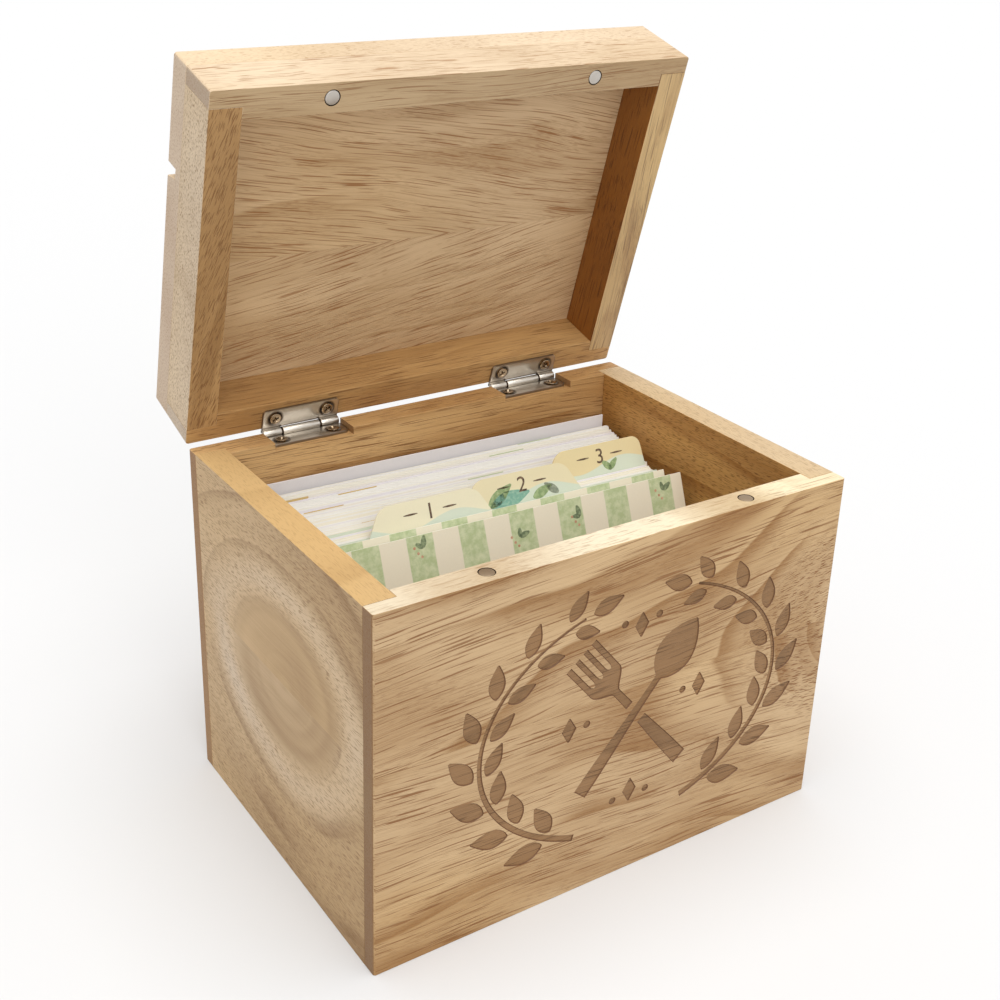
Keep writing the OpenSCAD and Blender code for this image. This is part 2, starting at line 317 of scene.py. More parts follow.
# %% The grain field group
def build_grain_field():
    inputs = [
        ("Place", "Vector", (0, 0, 0)),
        ("Heart along", "Float", 0.0),
        ("Heart across", "Float", 0.0),
        ("Roundness", "Float", 1.0),
        ("Reach", "Float", 0.05),
        ("Spread", "Float", 0.0),
        ("Wander", "Float", 1.0),
        ("Seed", "Float", 0.0),
    ]
    outputs = [("Fibre", "Vector"), ("Ring", "Float"), ("Half", "Float")]
    bench, source = new_group("Grain field", inputs, outputs)
    along, across, depth = bench.split(source["Place"])
    away = across - source["Heart across"]
    half = bench.step(away, -0.05 * MM, 0.05 * MM)
    seed = source["Seed"] + half * 3.7
    drift = bench.noise(bench.vector(along * 8.0, across * 17.0, depth * 8.0 + seed)) - 0.5
    drift = drift * source["Wander"]
    # The two halves mirror each other at the seam
    fibre = along * source["Spread"] + bench.size(away) + drift * 0.012
    # The distance from the heart, which stops growing along the board past the reach
    far = along - source["Heart along"]
    share = far / source["Reach"]
    held = far / bench.math("SQRT", share * share + 1.0) * source["Roundness"]
    ring = bench.math("SQRT", held * held + away * away) + drift * 0.022
    bent = bench.vector(along, fibre, depth + seed * 0.31)
    return close_group(bench, Fibre=bent, Ring=ring, Half=half)


grain_field = build_grain_field()

# %% [markdown]
# ## Light hardwood with open pores
# The wood of the box is pale tan with short dark vessels, cut open as flecks a few millimetres
# long. Soft darker bands follow the rings, fine streaks follow the fibres, and slow clouds of
# colour keep two places from looking alike. A board that was sawn through the heart shows it as a
# calm oval with a pale ring round it. On end grain the vessels are cut across, so it is darker
# and dotted. All scales are lumps a metre: few along the fibres and many across them draw a thin
# streak.


# %% The hardwood group
def build_hardwood():
    inputs = [
        ("Fibre", "Vector", (0, 0, 0)),
        ("Ring", "Float", 0.0),
        ("Half", "Float", 0.0),
        ("End grain", "Float", 0.0),
        ("Light", "Color", (1, 1, 1, 1)),
        ("Dark", "Color", (0.5, 0.5, 0.5, 1)),
        ("Fleck", "Color", (0.2, 0.2, 0.2, 1)),
        ("Ends", "Color", (0.3, 0.3, 0.3, 1)),
        ("Band depth", "Float", 0.6),
        ("Fleck depth", "Float", 0.7),
        ("Heart radius", "Float", 0.0),
        ("Rings per metre", "Float", 48.0),
        ("Ring shift", "Float", 0.0),
        ("Ring drift", "Float", 2.4),
        ("Dotted within", "Float", 0.0),
        ("Warmth", "Float", 1.0),
        ("Rim", "Float", 0.0),
        ("Rim light and shade", "Color", (1, 1, 1, 1)),
        ("Rim flecks", "Float", 1.0),
        ("Tilt", "Float", 0.0),
    ]
    bench, source = new_group("Hardwood", inputs)
    fibre, ring, half = source["Fibre"], source["Ring"], source["Half"]
    along = bench.split(fibre)[0]

    def grain(lengthways, across, detail=2.0, roughness=0.5):
        return bench.noise(fibre, (lengthways, across, across), detail, roughness)

    # Growth rings: each is darkest at its sharp outer edge and fades inwards
    slow = bench.noise(bench.vector(along * 5.0, ring * 45.0, half), detail=2.0, roughness=0.55)
    drift = (slow - 0.5) * source["Ring drift"]
    phase = ring * source["Rings per metre"] + source["Ring shift"] + drift
    saw = bench.math("FRACT", phase)
    amount = bench.step(bench.noise(bench.vector(along * 16.0, ring * 26.0, half)), 0.36, 0.66)
    rings = saw**2.5 * bench.step(saw, 1.0, 0.93) * amount
    # Inside the heart the rings are faint, the wood is a little darker, and there are few vessels
    past_heart = bench.step(ring - source["Heart radius"], -5 * MM, 2 * MM)
    has_heart = bench.step(source["Heart radius"], MM, 10 * MM)
    inside = has_heart * (1.0 - past_heart)
    bands = bench.step(slow, 0.36, 0.66) * 0.45 + rings * (1.0 - inside * 0.75) * 0.95
    cloud = grain(9.0, 24.0)
    streak = grain(16.0, 1500.0, 3.0, 0.7)
    # Tilt makes one end of a board darker, and rims can be calmer than the board's faces
    tone = bands * source["Band depth"] + (cloud - 0.42) + (streak * 0.55 - 0.27)
    tone = tone + along * source["Tilt"]
    fewer = source["Rim"] * (1.0 - source["Rim flecks"])
    tone = tone * (1.0 - bench.larger(fewer, 0.0))
    # A pale ring lies just outside the heart, and thin rings show within it
    out = ring - (source["Heart radius"] + 6.5 * MM)
    pale = bench.math("EXPONENT", out * out * -26000.0) * (cloud * 1.6 - 0.2) * has_heart
    thin = bench.math("SINE", phase * (4 * math.pi) + drift * 9.0) * (cloud * 0.8 - 0.15)
    tone = tone - pale * 1.5 + inside * 0.12 + thin * inside * 0.2
    base = bench.mix(bench.step(tone, -0.25, 1.05), source["Light"], source["Dark"])
    warm = bench.step(grain(6.0, 13.0, 1.0), 0.38, 0.70) * source["Warmth"]
    base = bench.tinted(warm, base, (1.03, 0.97, 0.80, 1))
    base = bench.mix(pale * 0.2, base, (1, 1, 1, 1))
    # Vessels cut open lengthways: long thin ones everywhere, and short ones crowded in dark bands
    # and wherever the board was cut at a slant to them
    cluster = bench.step(grain(24.0, 170.0), 0.28, 0.68)
    long_vessel = bench.step(grain(54.0, 1900.0, 0.6, 0.4), 0.60, 0.68)
    hair = bench.step(grain(36.0, 3600.0, 0.0), 0.60, 0.72)
    short_vessel = bench.step(grain(330.0, 3200.0, 0.6, 0.4), 0.54, 0.68)
    dotted = bench.step(ring - source["Dotted within"], 0.0, -12 * MM)
    crowd = bench.step(bands * 0.7 + (cluster * 0.6 - 0.2), 0.0, 0.8)
    long_vessel = bench.larger(long_vessel, hair * 0.45) * (1.0 - dotted * 0.85)
    short_vessel = short_vessel * bench.larger(crowd * 0.45, dotted)
    fleck = bench.larger(long_vessel * (cluster * 0.35 + 0.65), short_vessel)
    fleck = fleck * source["Fleck depth"] * (1.0 - inside * 0.92) * (1.0 - fewer)
    # Level faces take a tint of painted light and shade, for how the top light falls on them
    face = bench.tinted(source["Rim"], bench.mix(fleck, base, source["Fleck"]), source["Rim light and shade"])
    # The same wood cut across
    dots = bench.step(grain(1500.0, 1500.0, 1.0), 0.45, 0.72)
    ends = bench.mix(dots * 0.3 + (cloud * 0.7 - 0.1), source["Ends"], source["Fleck"])
    return close_group(
        bench,
        Color=bench.mix(source["End grain"], face, ends),
        Roughness=streak * 0.16 + 0.42 + fleck * 0.2,
        Height=streak * 0.45 - fleck,
    )


hardwood = build_hardwood()

# %% [markdown]
# ## One material for each board
# No two boards come from the same place in the tree. A board's material names the axes that its
# grain follows, where its heart lies, and its own three colours. The lid's boards stand open, so
# their places are first turned back to where the lid is shut.

# %% Wood for one board
GRAIN_X_FACE_XZ = "XZY"
GRAIN_Y_FACE_YZ = "YZX"
GRAIN_X_FACE_XY = "XYZ"
GRAIN_Y_FACE_YX = "YXZ"
END_TONE = colour(146, 115, 78)
PALE_END_TONE = colour(228, 209, 184)
GREY_END_TONE = colour(198, 181, 158)


def wood(name, axes, tones, heart=(0.0, 0.0), roundness=1.0, reach=0.03, spread=0.0, wander=1.0,
         seed=0.0, bands=0.6, flecks=0.6, ends=END_TONE, heart_radius=0.0, rings=(48.0, 0.0, 2.4),
         dotted=0.0, warmth=1.0, rim_light_and_shade=(1, 1, 1), rim_flecks=1.0, tilt=0.0, in_lid=False):
    """A board's material. Places are in metres, along and across the grain; rings are how many a
    metre, their shift and how much they drift."""
    material, bench = new_material(name)
    place = bench.place()
    if in_lid:
        inputs = {"Vector": place, "Center": PIN, "Angle": OPEN}
        place = bench.add("ShaderNodeVectorRotate", inputs, rotation_type="X_AXIS")
    split = bench.split(place)
    field = {
        "Place": bench.vector(*(split["XYZ".index(axis)] for axis in axes)),
        "Heart along": heart[0],
        "Heart across": heart[1],
        "Roundness": roundness,
        "Reach": reach,
        "Spread": spread,
        "Wander": wander,
        "Seed": seed,
    }
    timber = {
        **bench.wires("ShaderNodeGroup", field, node_tree=grain_field),
        "End grain": bench.attribute("end_grain"),
        "Light": tones[0],
        "Dark": tones[1],
        "Fleck": tones[2],
        "Ends": ends,
        "Band depth": bands,
        "Fleck depth": flecks,
        "Heart radius": heart_radius,
        "Rings per metre": rings[0],
        "Ring shift": rings[1],
        "Ring drift": rings[2],
        "Dotted within": dotted,
        "Warmth": warmth,
        "Rim": bench.attribute("rim"),
        # The rim tint is painted light and shade on the level faces
        "Rim light and shade": (*rim_light_and_shade, 1),
        "Rim flecks": rim_flecks,
        "Tilt": tilt,
    }
    pattern = bench.wires("ShaderNodeGroup", timber, node_tree=hardwood)
    finish_surface(bench, pattern, 0.6, 0.2 * MM, **{"Specular IOR Level": 0.35})
    return material


# %% [markdown]
# ## Modelling helpers
# Every operator works on what is selected, so a piece is always made the only selected one first.
# Faces and edges are picked in code by where they lie. A cut is a boolean with a cutter that is
# thrown away, as a saw or a chisel would leave it.


# %% Select, join and settle
def none_selected():
    bpy.ops.object.select_all(action="DESELECT")


def alone(piece):
    """Makes piece the only selected object, and the active one."""
    none_selected()
    piece.select_set(True)
    bpy.context.view_layer.objects.active = piece


def settle(piece):
    """Moves the object's place into its mesh, so that the object is back at the origin."""
    alone(piece)
    bpy.ops.object.transform_apply(location=True, rotation=True, scale=True)
    return piece


def stand(piece, matrix):
    """Sets a piece down by a matrix."""
    piece.matrix_world = matrix @ piece.matrix_world
    return settle(piece)


def join(name, pieces):
    """Makes one piece of several."""
    alone(pieces[0])
    for piece in pieces:
        piece.select_set(True)
    bpy.ops.object.join()
    pieces[0].name = name
    return pieces[0]


# %% Blocks and rods
def block(name, low, high):
    """A block between two opposite corners."""
    low, high = Vector(low), Vector(high)
    none_selected()
    bpy.ops.mesh.primitive_cube_add(size=1, location=(low + high) / 2, scale=high - low)
    bpy.context.object.name = name
    return settle(bpy.context.object)


def rod(name, start, radius, length, axis, sides=48):
    """A cylinder from start along one axis, which is X, Y or Z."""
    turn = {"X": (0, math.pi / 2, 0), "Y": (-math.pi / 2, 0, 0), "Z": (0, 0, 0)}[axis]
    middle = Vector(start) + Vector([length / 2 * (letter == axis) for letter in "XYZ"])
    none_selected()
    bpy.ops.mesh.primitive_cylinder_add(
        vertices=sides, radius=radius, depth=length, location=middle, rotation=turn
    )
    bpy.context.object.name = name
    return settle(bpy.context.object)


# %% Pick and pull faces and edges
def edit(piece):
    """Opens a piece in edit mode with nothing selected."""
    alone(piece)
    bpy.ops.object.mode_set(mode="EDIT")
    bpy.ops.mesh.select_all(action="DESELECT")


def done():
    bpy.ops.object.mode_set(mode="OBJECT")


def pick_faces(piece, test):
    """Selects the faces whose middle and normal pass the test."""
    bpy.ops.mesh.select_all(action="DESELECT")
    bpy.ops.mesh.select_mode(type="FACE")
    mesh = bmesh.from_edit_mesh(piece.data)
    for face in mesh.faces:
        face.select_set(bool(test(face.calc_center_median(), face.normal)))
    bmesh.update_edit_mesh(piece.data)


def pick_edges(piece, test):
    """Selects the edges whose two ends pass the test."""
    bpy.ops.mesh.select_all(action="DESELECT")
    bpy.ops.mesh.select_mode(type="EDGE")
    mesh = bmesh.from_edit_mesh(piece.data)
    for edge in mesh.edges:
        edge.select_set(bool(test(edge.verts[0].co, edge.verts[1].co)))
    bmesh.update_edit_mesh(piece.data)


def upright(a, b, taller=MM):
    """True for an edge that stands along Z."""
    return abs(a.x - b.x) < CLOSE and abs(a.y - b.y) < CLOSE and abs(a.z - b.z) > taller


def extrude(x, y, z):
    bpy.ops.mesh.extrude_region_move(TRANSFORM_OT_translate={"value": (x, y, z)})


def pull_out(piece, distance):
    """Opens a flat strip and gives it a thickness along Y, with its faces turned outwards."""
    edit(piece)
    bpy.ops.mesh.select_all(action="SELECT")
    extrude(0, distance, 0)
    bpy.ops.mesh.select_all(action="SELECT")
    bpy.ops.mesh.normals_make_consistent(inside=False)


# %% Modifiers and cuts
def modify(piece, kind, **settings):
    """Adds a modifier and applies it."""
    alone(piece)
    modifier = piece.modifiers.new(kind.lower(), kind)
    for name, value in settings.items():
        setattr(modifier, name, value)
    bpy.ops.object.modifier_apply(modifier=modifier.name)


def combine(piece, other, **settings):
    """Cuts other out of piece, and throws other away."""
    modify(piece, "BOOLEAN", object=other, operation="DIFFERENCE", solver="EXACT", **settings)
    bpy.data.objects.remove(other)


def round_edges(piece, width, segments, sharper_than=30):
    """Bevels every edge that is sharper than so many degrees."""
    modify(
        piece, "BEVEL", width=width, segments=segments, limit_method="ANGLE",
        angle_limit=math.radians(sharper_than),
    )


def ease(piece, width):
    """Rounds every sharp outer edge, as a few strokes of sandpaper do."""
    round_edges(piece, width, 3, 50)


def smooth(piece, degrees):
    """Shades a piece smooth but for its sharper edges."""
    alone(piece)
    bpy.ops.object.shade_smooth_by_angle(angle=math.radians(degrees))


# %% Hand a piece over
def mark_grain(piece, axis):
    """Notes for the shader which faces are sawn across the grain, and which are the level rims."""
    mesh = piece.data
    for name, index in (("end_grain", "XYZ".index(axis)), ("rim", 2)):
        shares = mesh.attributes.new(name, "FLOAT", "FACE")
        for face, share in zip(mesh.polygons, shares.data):
            share.value = 1.0 if abs(face.normal[index]) > 0.8 else 0.0


def dress(piece, material, body, slot, *nodes):
    """Gives a finished piece its material, its body and the nodes that it stands for."""
    if not piece.data.materials:
        piece.data.materials.append(material)
    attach(piece, body)
    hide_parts(*nodes)
    print(f"{piece.name}: {len(piece.data.polygons)} faces, rides on {body}")


# %% [markdown]
# ## The colours of the wood
# Face grain is a warm tan, the boards of the sides are greyer, and the vessels are always the
# same hue as the wood around them but much darker. Each set is light wood, dark wood and vessel.

# %% Wood colours
TAN = (colour(210, 180, 139), colour(156, 117, 73), colour(126, 80, 38))
PALE_TAN = (colour(230, 207, 175), colour(186, 156, 118), colour(148, 98, 50))
ASH = (colour(236, 215, 186), colour(190, 164, 132), colour(146, 112, 78))
GREY_TAN = (colour(208, 178, 137), colour(150, 116, 76), colour(130, 94, 58))
GOLDEN = (colour(216, 176, 122), colour(162, 116, 64), colour(118, 76, 36))
DEEP_GOLDEN = (colour(204, 164, 110), colour(150, 106, 58), colour(108, 68, 32))
AMBER = (colour(228, 181, 112), colour(172, 120, 61), colour(120, 76, 34))
# Painted shade: the lid's right rail is painted darker than its wood, for the shade inside the open
# lid
SHADED_BROWN = (colour(156, 103, 46), colour(114, 66, 25), colour(80, 43, 15))
SCORCHED = (colour(156, 119, 80), colour(120, 88, 54), colour(84, 56, 32))
BURNT = (colour(116, 80, 50), colour(92, 60, 36), colour(66, 42, 24))
print("tan as linear light:", [round(part, 3) for part in TAN[0][:3]])

# %% [markdown]
# ## The four walls
# The front and back boards lap over the ends of the side boards, so each has a rebate at both
# ends. A wall starts as a block, its two upright outer corners are rounded, the rebates are cut,
# and then every edge is eased. The grooves for the bottom board and the holes come last, because
# drilled holes keep their crisp rims.


# %% A lapped board
EASE = 0.25 * MM
JOINT_EASE = 0.12 * MM
PAST = 5 * MM


def lapped_board(name, facing, low_z, high_z):
    """A front board where facing is -1, or a back board where it is 1."""
    outer = facing * BOX_D / 2
    inner = facing * (BOX_D / 2 - END_T)
    shoulder = facing * (BOX_D / 2 - LAP_T)
    piece = block(
        name, (-BOX_W / 2, min(outer, inner), low_z), (BOX_W / 2, max(outer, inner), high_z)
    )
    edit(piece)
    pick_edges(piece, lambda a, b: upright(a, b) and abs(a.y - outer) < CLOSE)
    bpy.ops.mesh.bevel(offset=CORNER_R, segments=5, affect="EDGES")
    done()
    for side in (-1, 1):
        xs = sorted((side * INNER_W / 2, side * (BOX_W / 2 + PAST)))
        ys = sorted((shoulder, inner - facing * PAST))
        rebate = block("rebate", (xs[0], ys[0], low_z - PAST), (xs[1], ys[1], high_z + PAST))
        combine(piece, rebate)
    ease(piece, EASE)
    return piece


def side_board(name, side, low_z, high_z):
    """A plain board between the front and back ones; side is -1 on the left and 1 on the right."""
    xs = sorted((side * INNER_W / 2, side * BOX_W / 2))
    reach = BOX_D / 2 - LAP_T
    piece = block(name, (xs[0], -reach, low_z), (xs[1], reach, high_z))
    ease(piece, JOINT_EASE)
    return piece


# %% The walls, with grooves that hold the bottom board
TONGUE_T = 5 * MM
TONGUE_D = 3.4 * MM
TONGUE_Z = 3 * MM
PANEL_GAP = 0.2 * MM
GROOVE_D = TONGUE_D + PANEL_GAP


def cut_groove(piece, half_w, half_d):
    """A groove along one wall, cut by a board that reaches so far from the middle of the box."""
    top_z = TONGUE_Z + TONGUE_T
    combine(piece, block("groove", (-half_w, -half_d, TONGUE_Z), (half_w, half_d, top_z)))


front_board = lapped_board("front_board_wood", -1, 0, BOX_H)
back_board = lapped_board("back_board_wood", 1, 0, BOX_H)
left_side = side_board("left_side_board_wood", -1, 0, BOX_H)
right_side = side_board("right_side_board_wood", 1, 0, BOX_H)
for end_board in (front_board, back_board):
    cut_groove(end_board, INNER_W / 2, INNER_D / 2 + GROOVE_D)
for side_wall in (left_side, right_side):
    cut_groove(side_wall, INNER_W / 2 + GROOVE_D, BOX_D / 2)
print(f"grooves {GROOVE_D / MM:.1f} mm deep")

# %% [markdown]
# ## The bottom board
# The bottom sits in the grooves with a tongue on all four edges. It starts as the tongue, and its
# upper and lower faces are inset and pulled out to full thickness.

# %% The bottom board
tongue_w = INNER_W / 2 + TONGUE_D
tongue_d = INNER_D / 2 + TONGUE_D
tongue_top = TONGUE_Z + TONGUE_T
bottom = block(
    "bottom_board_wood", (-tongue_w, -tongue_d, TONGUE_Z), (tongue_w, tongue_d, tongue_top)
)
edit(bottom)
for up, rise in ((1, FLOOR_T - tongue_top), (-1, -TONGUE_Z)):
    pick_faces(bottom, lambda middle, normal: normal.z * up > 0.9)
    bpy.ops.mesh.inset(thickness=GROOVE_D)
    extrude(0, 0, rise)
done()
ease(bottom, JOINT_EASE)
print(f"bottom board: {len(bottom.data.polygons)} faces")

# %% [markdown]
# ## Magnet holes
# Two small disc magnets in the front rim hold the lid shut. Their holes are a hair wider than the
# magnets, and the dark ring in that gap is what the eye sees. So the inside of each hole is painted
# a dark, slightly uneven brown, as painted shade in the gap.

# %% Drill the magnet holes
body_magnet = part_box("left_body_magnet")
MAGNET_R = (body_magnet[1].x - body_magnet[0].x) / 2
MAGNET_T = body_magnet[1].z - body_magnet[0].z
MAGNET_X = -(body_magnet[1].x + body_magnet[0].x) / 2
MAGNET_Y = (body_magnet[1].y + body_magnet[0].y) / 2
HOLE_R = MAGNET_R + 0.3 * MM


def drill_magnet_holes(piece, low_z, high_z):
    for side in SIDES.values():
        start = (side * MAGNET_X, MAGNET_Y, low_z)
        combine(piece, rod("hole", start, HOLE_R, high_z - low_z, "Z"))


drill_magnet_holes(front_board, BOX_H - MAGNET_T, BOX_H + MM)
print(f"holes {2 * HOLE_R / MM:.1f} mm wide for magnets of {2 * MAGNET_R / MM:.1f} mm")


# %% Painted shade in the holes
def gap_shade_material():
    material, bench = new_material("painted gap shade")
    lumps = bench.even_noise(bench.place(), 900.0)
    shade = bench.mix(lumps, colour(46, 32, 22), colour(88, 66, 46))
    inputs = {"Base Color": shade, "Roughness": 0.6}
    finish_material(bench, bench.add("ShaderNodeBsdfPrincipled", inputs))
    return material


painted_gap_shade = gap_shade_material()


def line_magnet_holes(piece):
    """Gives the inside of the magnet holes their painted shade. The piece has its wood by now."""
    piece.data.materials.append(painted_gap_shade)
    for face in piece.data.polygons:
        x, y = face.center.xy
        away = min(math.hypot(x - side * MAGNET_X, y - MAGNET_Y) for side in SIDES.values())
        if away < HOLE_R + CLOSE:
            face.material_index = len(piece.data.materials) - 1


# %% [markdown]
# ## Recesses for the hinges
# Both hinge leaves lie in one recess in the back board, as deep as the closed hinge, and the
# lid's leaf is simply screwed on the lid's rim.

# %% Cut the hinge recesses
HINGE_L = 30 * MM
leaf_low, leaf_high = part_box("left_hinge_body_leaf")
HINGE_X = -(leaf_low.x + leaf_high.x) / 2
KNUCKLE_R = 1.6 * MM
RECESS_HALF = HINGE_L / 2 + 0.5 * MM
RECESS_Z = PIN.z - KNUCKLE_R

for side in SIDES.values():
    recess = block(
        "recess",
        (side * HINGE_X - RECESS_HALF, INNER_D / 2 - PAST, RECESS_Z),
        (side * HINGE_X + RECESS_HALF, BOX_D / 2 + PAST, BOX_H + PAST),
    )
    combine(back_board, recess)
print(f"recesses {(BOX_H - RECESS_Z) / MM:.1f} mm deep")

# %% [markdown]
# ## The engraving
# The front carries a shallow burnt engraving: a leafy wreath round a crossed fork and spoon.
# Every part of it is a ribbon, a strip that follows a line and has a width at each point, so a
# leaf, a stem and a spoon differ only in two formulas. A ribbon becomes a cutter with sloping
# walls, and the boolean carries the cutter's scorched materials over to the floor and walls of
# the cut.


# %% Ribbons
ENGRAVE_DEPTH = 0.35 * MM
ENGRAVE_SLOPE = 0.28 * MM
ENGRAVE_OUT = 1.5 * MM
ENGRAVE_MIDDLE = (6 * MM, 64 * MM)
FACE_Y = -BOX_D / 2


def ribbon(spine, half_width, steps, middle=ENGRAVE_MIDDLE, face_y=FACE_Y):
    """A flat strip along spine(t), a place (x, z), and half_width(t) wide on each side."""
    none_selected()
    bpy.ops.mesh.primitive_grid_add(x_subdivisions=steps, y_subdivisions=1, size=2)
    piece = bpy.context.object
    tiny = 1e-4
    for vertex in piece.data.vertices:
        t = min(max((vertex.co.x + 1) / 2, 0.0), 1.0)
        before, after = Vector(spine(max(t - tiny, 0))), Vector(spine(min(t + tiny, 1)))
        ahead = (after - before).normalized()
        place = Vector(spine(t)) + Vector((-ahead.y, ahead.x)) * vertex.co.y * half_width(t)
        vertex.co = (place.x + middle[0], face_y, place.y + middle[1])
    return piece


def sink_floor(piece):
    """Sinks what lies on the board's face into the board, which leaves sloping walls round it."""
    pick_faces(piece, lambda middle, normal: abs(middle.y - FACE_Y) < CLOSE)
    bpy.ops.mesh.inset(thickness=ENGRAVE_SLOPE)
    bpy.ops.transform.translate(value=(0, ENGRAVE_DEPTH, 0))
    done()


# %% Spines and widths
LEAF_TIP = 0.35


def upright_at(angle):
    """The way up, turned anticlockwise by an angle."""
    return Vector((-math.sin(angle), math.cos(angle)))


def straight(start, angle, length):
    """A straight spine from a place (x, z) in millimetres, turned anticlockwise from upright."""
    return lambda t: (Vector(start) + upright_at(angle) * length * t) * MM


def leaf_width(half):
    """A pointed leaf, fullest near its base, with blunt tips."""
    return lambda t: (LEAF_TIP + half * math.sin(math.pi * t**0.8)) * MM


def dot_width(radius):
    """A round dot, on a spine as long as it is wide."""
    return lambda t: radius * math.sqrt(0.08 + t * (1 - t) * 3.6) * MM


# %% The wreath
WREATH_A = 61
WREATH_B = 45
LEAF_L = 15
LEAF_HALF = 3.4
LEAF_LEAN = math.radians(34)
LEAF_OUT = 2.6
INNER_LEAF = 0.88
STEM_FROM = math.radians(-68)
STEM_TO = math.radians(68)
LEAVES = 8


def wreath_place(angle, side, out=0.0):
    """A place on the oval, in millimetres; side mirrors it, and out moves it outwards."""
    return Vector((side * (WREATH_A + out) * math.cos(angle), (WREATH_B + out) * math.sin(angle)))


def wreath_heading(angle, side):
    """The way that the stem grows there, as an angle from upright."""
    ahead = wreath_place(angle + 0.01, side) - wreath_place(angle - 0.01, side)
    return math.atan2(-ahead.x, ahead.y)


def wreath_leaf(foot, turn, size):
    return ribbon(straight(foot, turn, LEAF_L * size), leaf_width(LEAF_HALF * size), 14)


def wreath_half(side):
    """A stem that thins upwards, pairs of leaves that get smaller, and one leaf at the tip."""
    stem = lambda t: wreath_place(STEM_FROM + (STEM_TO - STEM_FROM) * t, side) * MM
    strips = [ribbon(stem, lambda t: (1.25 - 0.75 * t) * MM, 60)]
    for i in range(LEAVES):
        angle = STEM_FROM + (STEM_TO - STEM_FROM) * (i + 0.7) / LEAVES
        for way in (-1, 1):
            foot = wreath_place(angle, side, way * LEAF_OUT)
            turn = wreath_heading(angle, side) - side * way * LEAF_LEAN
            size = (1.0 - 0.3 * i / LEAVES) * (1.0 if way > 0 else INNER_LEAF)
            strips.append(wreath_leaf(foot, turn, size))
    tip = wreath_place(STEM_TO + math.radians(3), side)
    return strips + [wreath_leaf(tip, wreath_heading(STEM_TO, side), 0.8)]


cutters = wreath_half(-1) + wreath_half(1)
print(len(cutters), "strips in the wreath")

# %% The crossed spoon and fork
TOOL_L = 70
TOOL_LEAN = math.radians(40)
CROSS_AT = 0.47
CROSS_GAP = 4.2 / TOOL_L
HEAD_AT = 0.66
SHOULDERS = 0.32
HANDLE_HALF = 1.5
BOWL_HALF = 8.6
FORK_HALF = 7.2


def handle_width(t):
    """A handle that swells at its end and thins towards the head."""
    return (HANDLE_HALF + 1.5 * math.cos(math.pi / 2 * min(t / HEAD_AT, 1)) ** 2) * MM


def spoon_width(t):
    """Handle, neck and an egg-shaped bowl."""
    if t < HEAD_AT:
        return handle_width(t)
    share = (t - HEAD_AT) / (1 - HEAD_AT)
    bowl = BOWL_HALF * math.sin(math.pi * share**0.85) ** 0.75
    return max(bowl, HANDLE_HALF * (1 - share), 0.4) * MM


def fork_width(t):
    """Handle and shoulders; the tines are cut out afterwards."""
    if t < HEAD_AT:
        return handle_width(t)
    share = (t - HEAD_AT) / (1 - HEAD_AT)
    shoulder = math.sin(math.pi / 2 * min(share / SHOULDERS, 1)) ** 1.5
    return (HANDLE_HALF + (FORK_HALF - HANDLE_HALF) * shoulder) * MM


def tool_part(lean, width, steps, first=0.0, last=1.0):
    """A part of a tool that crosses the middle of the wreath, from its share first to last."""
    foot = -upright_at(lean) * TOOL_L * CROSS_AT
    along = lambda t: first + (last - first) * t
    spine = lambda t: (foot + upright_at(lean) * TOOL_L * along(t)) * MM
    return ribbon(spine, lambda t: width(along(t)), steps)


cutters.append(tool_part(-TOOL_LEAN, spoon_width, 72))
cutters.append(tool_part(TOOL_LEAN, fork_width, 24, last=CROSS_AT - CROSS_GAP))
fork_head = tool_part(TOOL_LEAN, fork_width, 60, first=CROSS_AT + CROSS_GAP)
print("spoon and fork drawn")

# %% [markdown]
# The fork's head needs its tines. Three slots are cut out of the flat strip's prism before its
# floor is sunk, and then the walls of the tines slope like all the others.

# %% The tines
TINE_SLOT = 0.95
TINE_SLOT_L = 0.3
TINE_PITCH = 3.9
TINES_AT = 0.8
fork_ahead = upright_at(TOOL_LEAN)
fork_across = Vector((fork_ahead.y, -fork_ahead.x))
slot_width = lambda t: TINE_SLOT * min(1.0, 0.35 + 12 * t) * MM
pull_out(fork_head, -ENGRAVE_OUT)
done()
for k in (-1, 0, 1):
    foot = fork_ahead * TOOL_L * (TINES_AT - CROSS_AT) + fork_across * k * TINE_PITCH
    spine = straight(foot, TOOL_LEAN, TOOL_L * TINE_SLOT_L)
    slot = ribbon(spine, slot_width, 24, face_y=FACE_Y + MM)
    pull_out(slot, -ENGRAVE_OUT - 2 * MM)
    done()
    combine(fork_head, slot)
edit(fork_head)
bpy.ops.mesh.select_all(action="SELECT")
bpy.ops.mesh.remove_doubles(threshold=CLOSE)
pick_faces(fork_head, lambda middle, normal: abs(middle.y - FACE_Y) < CLOSE)
bpy.ops.mesh.dissolve_faces()
sink_floor(fork_head)
print("tines cut:", len(fork_head.data.polygons), "faces")

# %% Small diamonds and dots round the tools
DIAMONDS = [(-27, 2), (27, 2), (0, 33), (0, -31)]
DOTS = [(-20, 2), (20, 2), (-7, 35), (7, 35), (-7, -33), (7, -33)]
diamond_width = lambda t: (0.3 + 2.6 * (1 - abs(2 * t - 1))) * MM
for x, z in DIAMONDS:
    cutters.append(ribbon(straight((x, z - 4.5), 0, 9), diamond_width, 8))
for x, z in DOTS:
    cutters.append(ribbon(straight((x, z - 1.3), 0, 2.6), dot_width(1.4), 10))
print(len(cutters), "strips and the fork's head")

# %% [markdown]
# ## Burn the engraving in
# The cutters are joined into one object, so the board is cut once. The floor of the cut is darker
# wood with the same grain running through it, and its sloping walls are burnt darker still, which
# draws a thin outline round every shape.

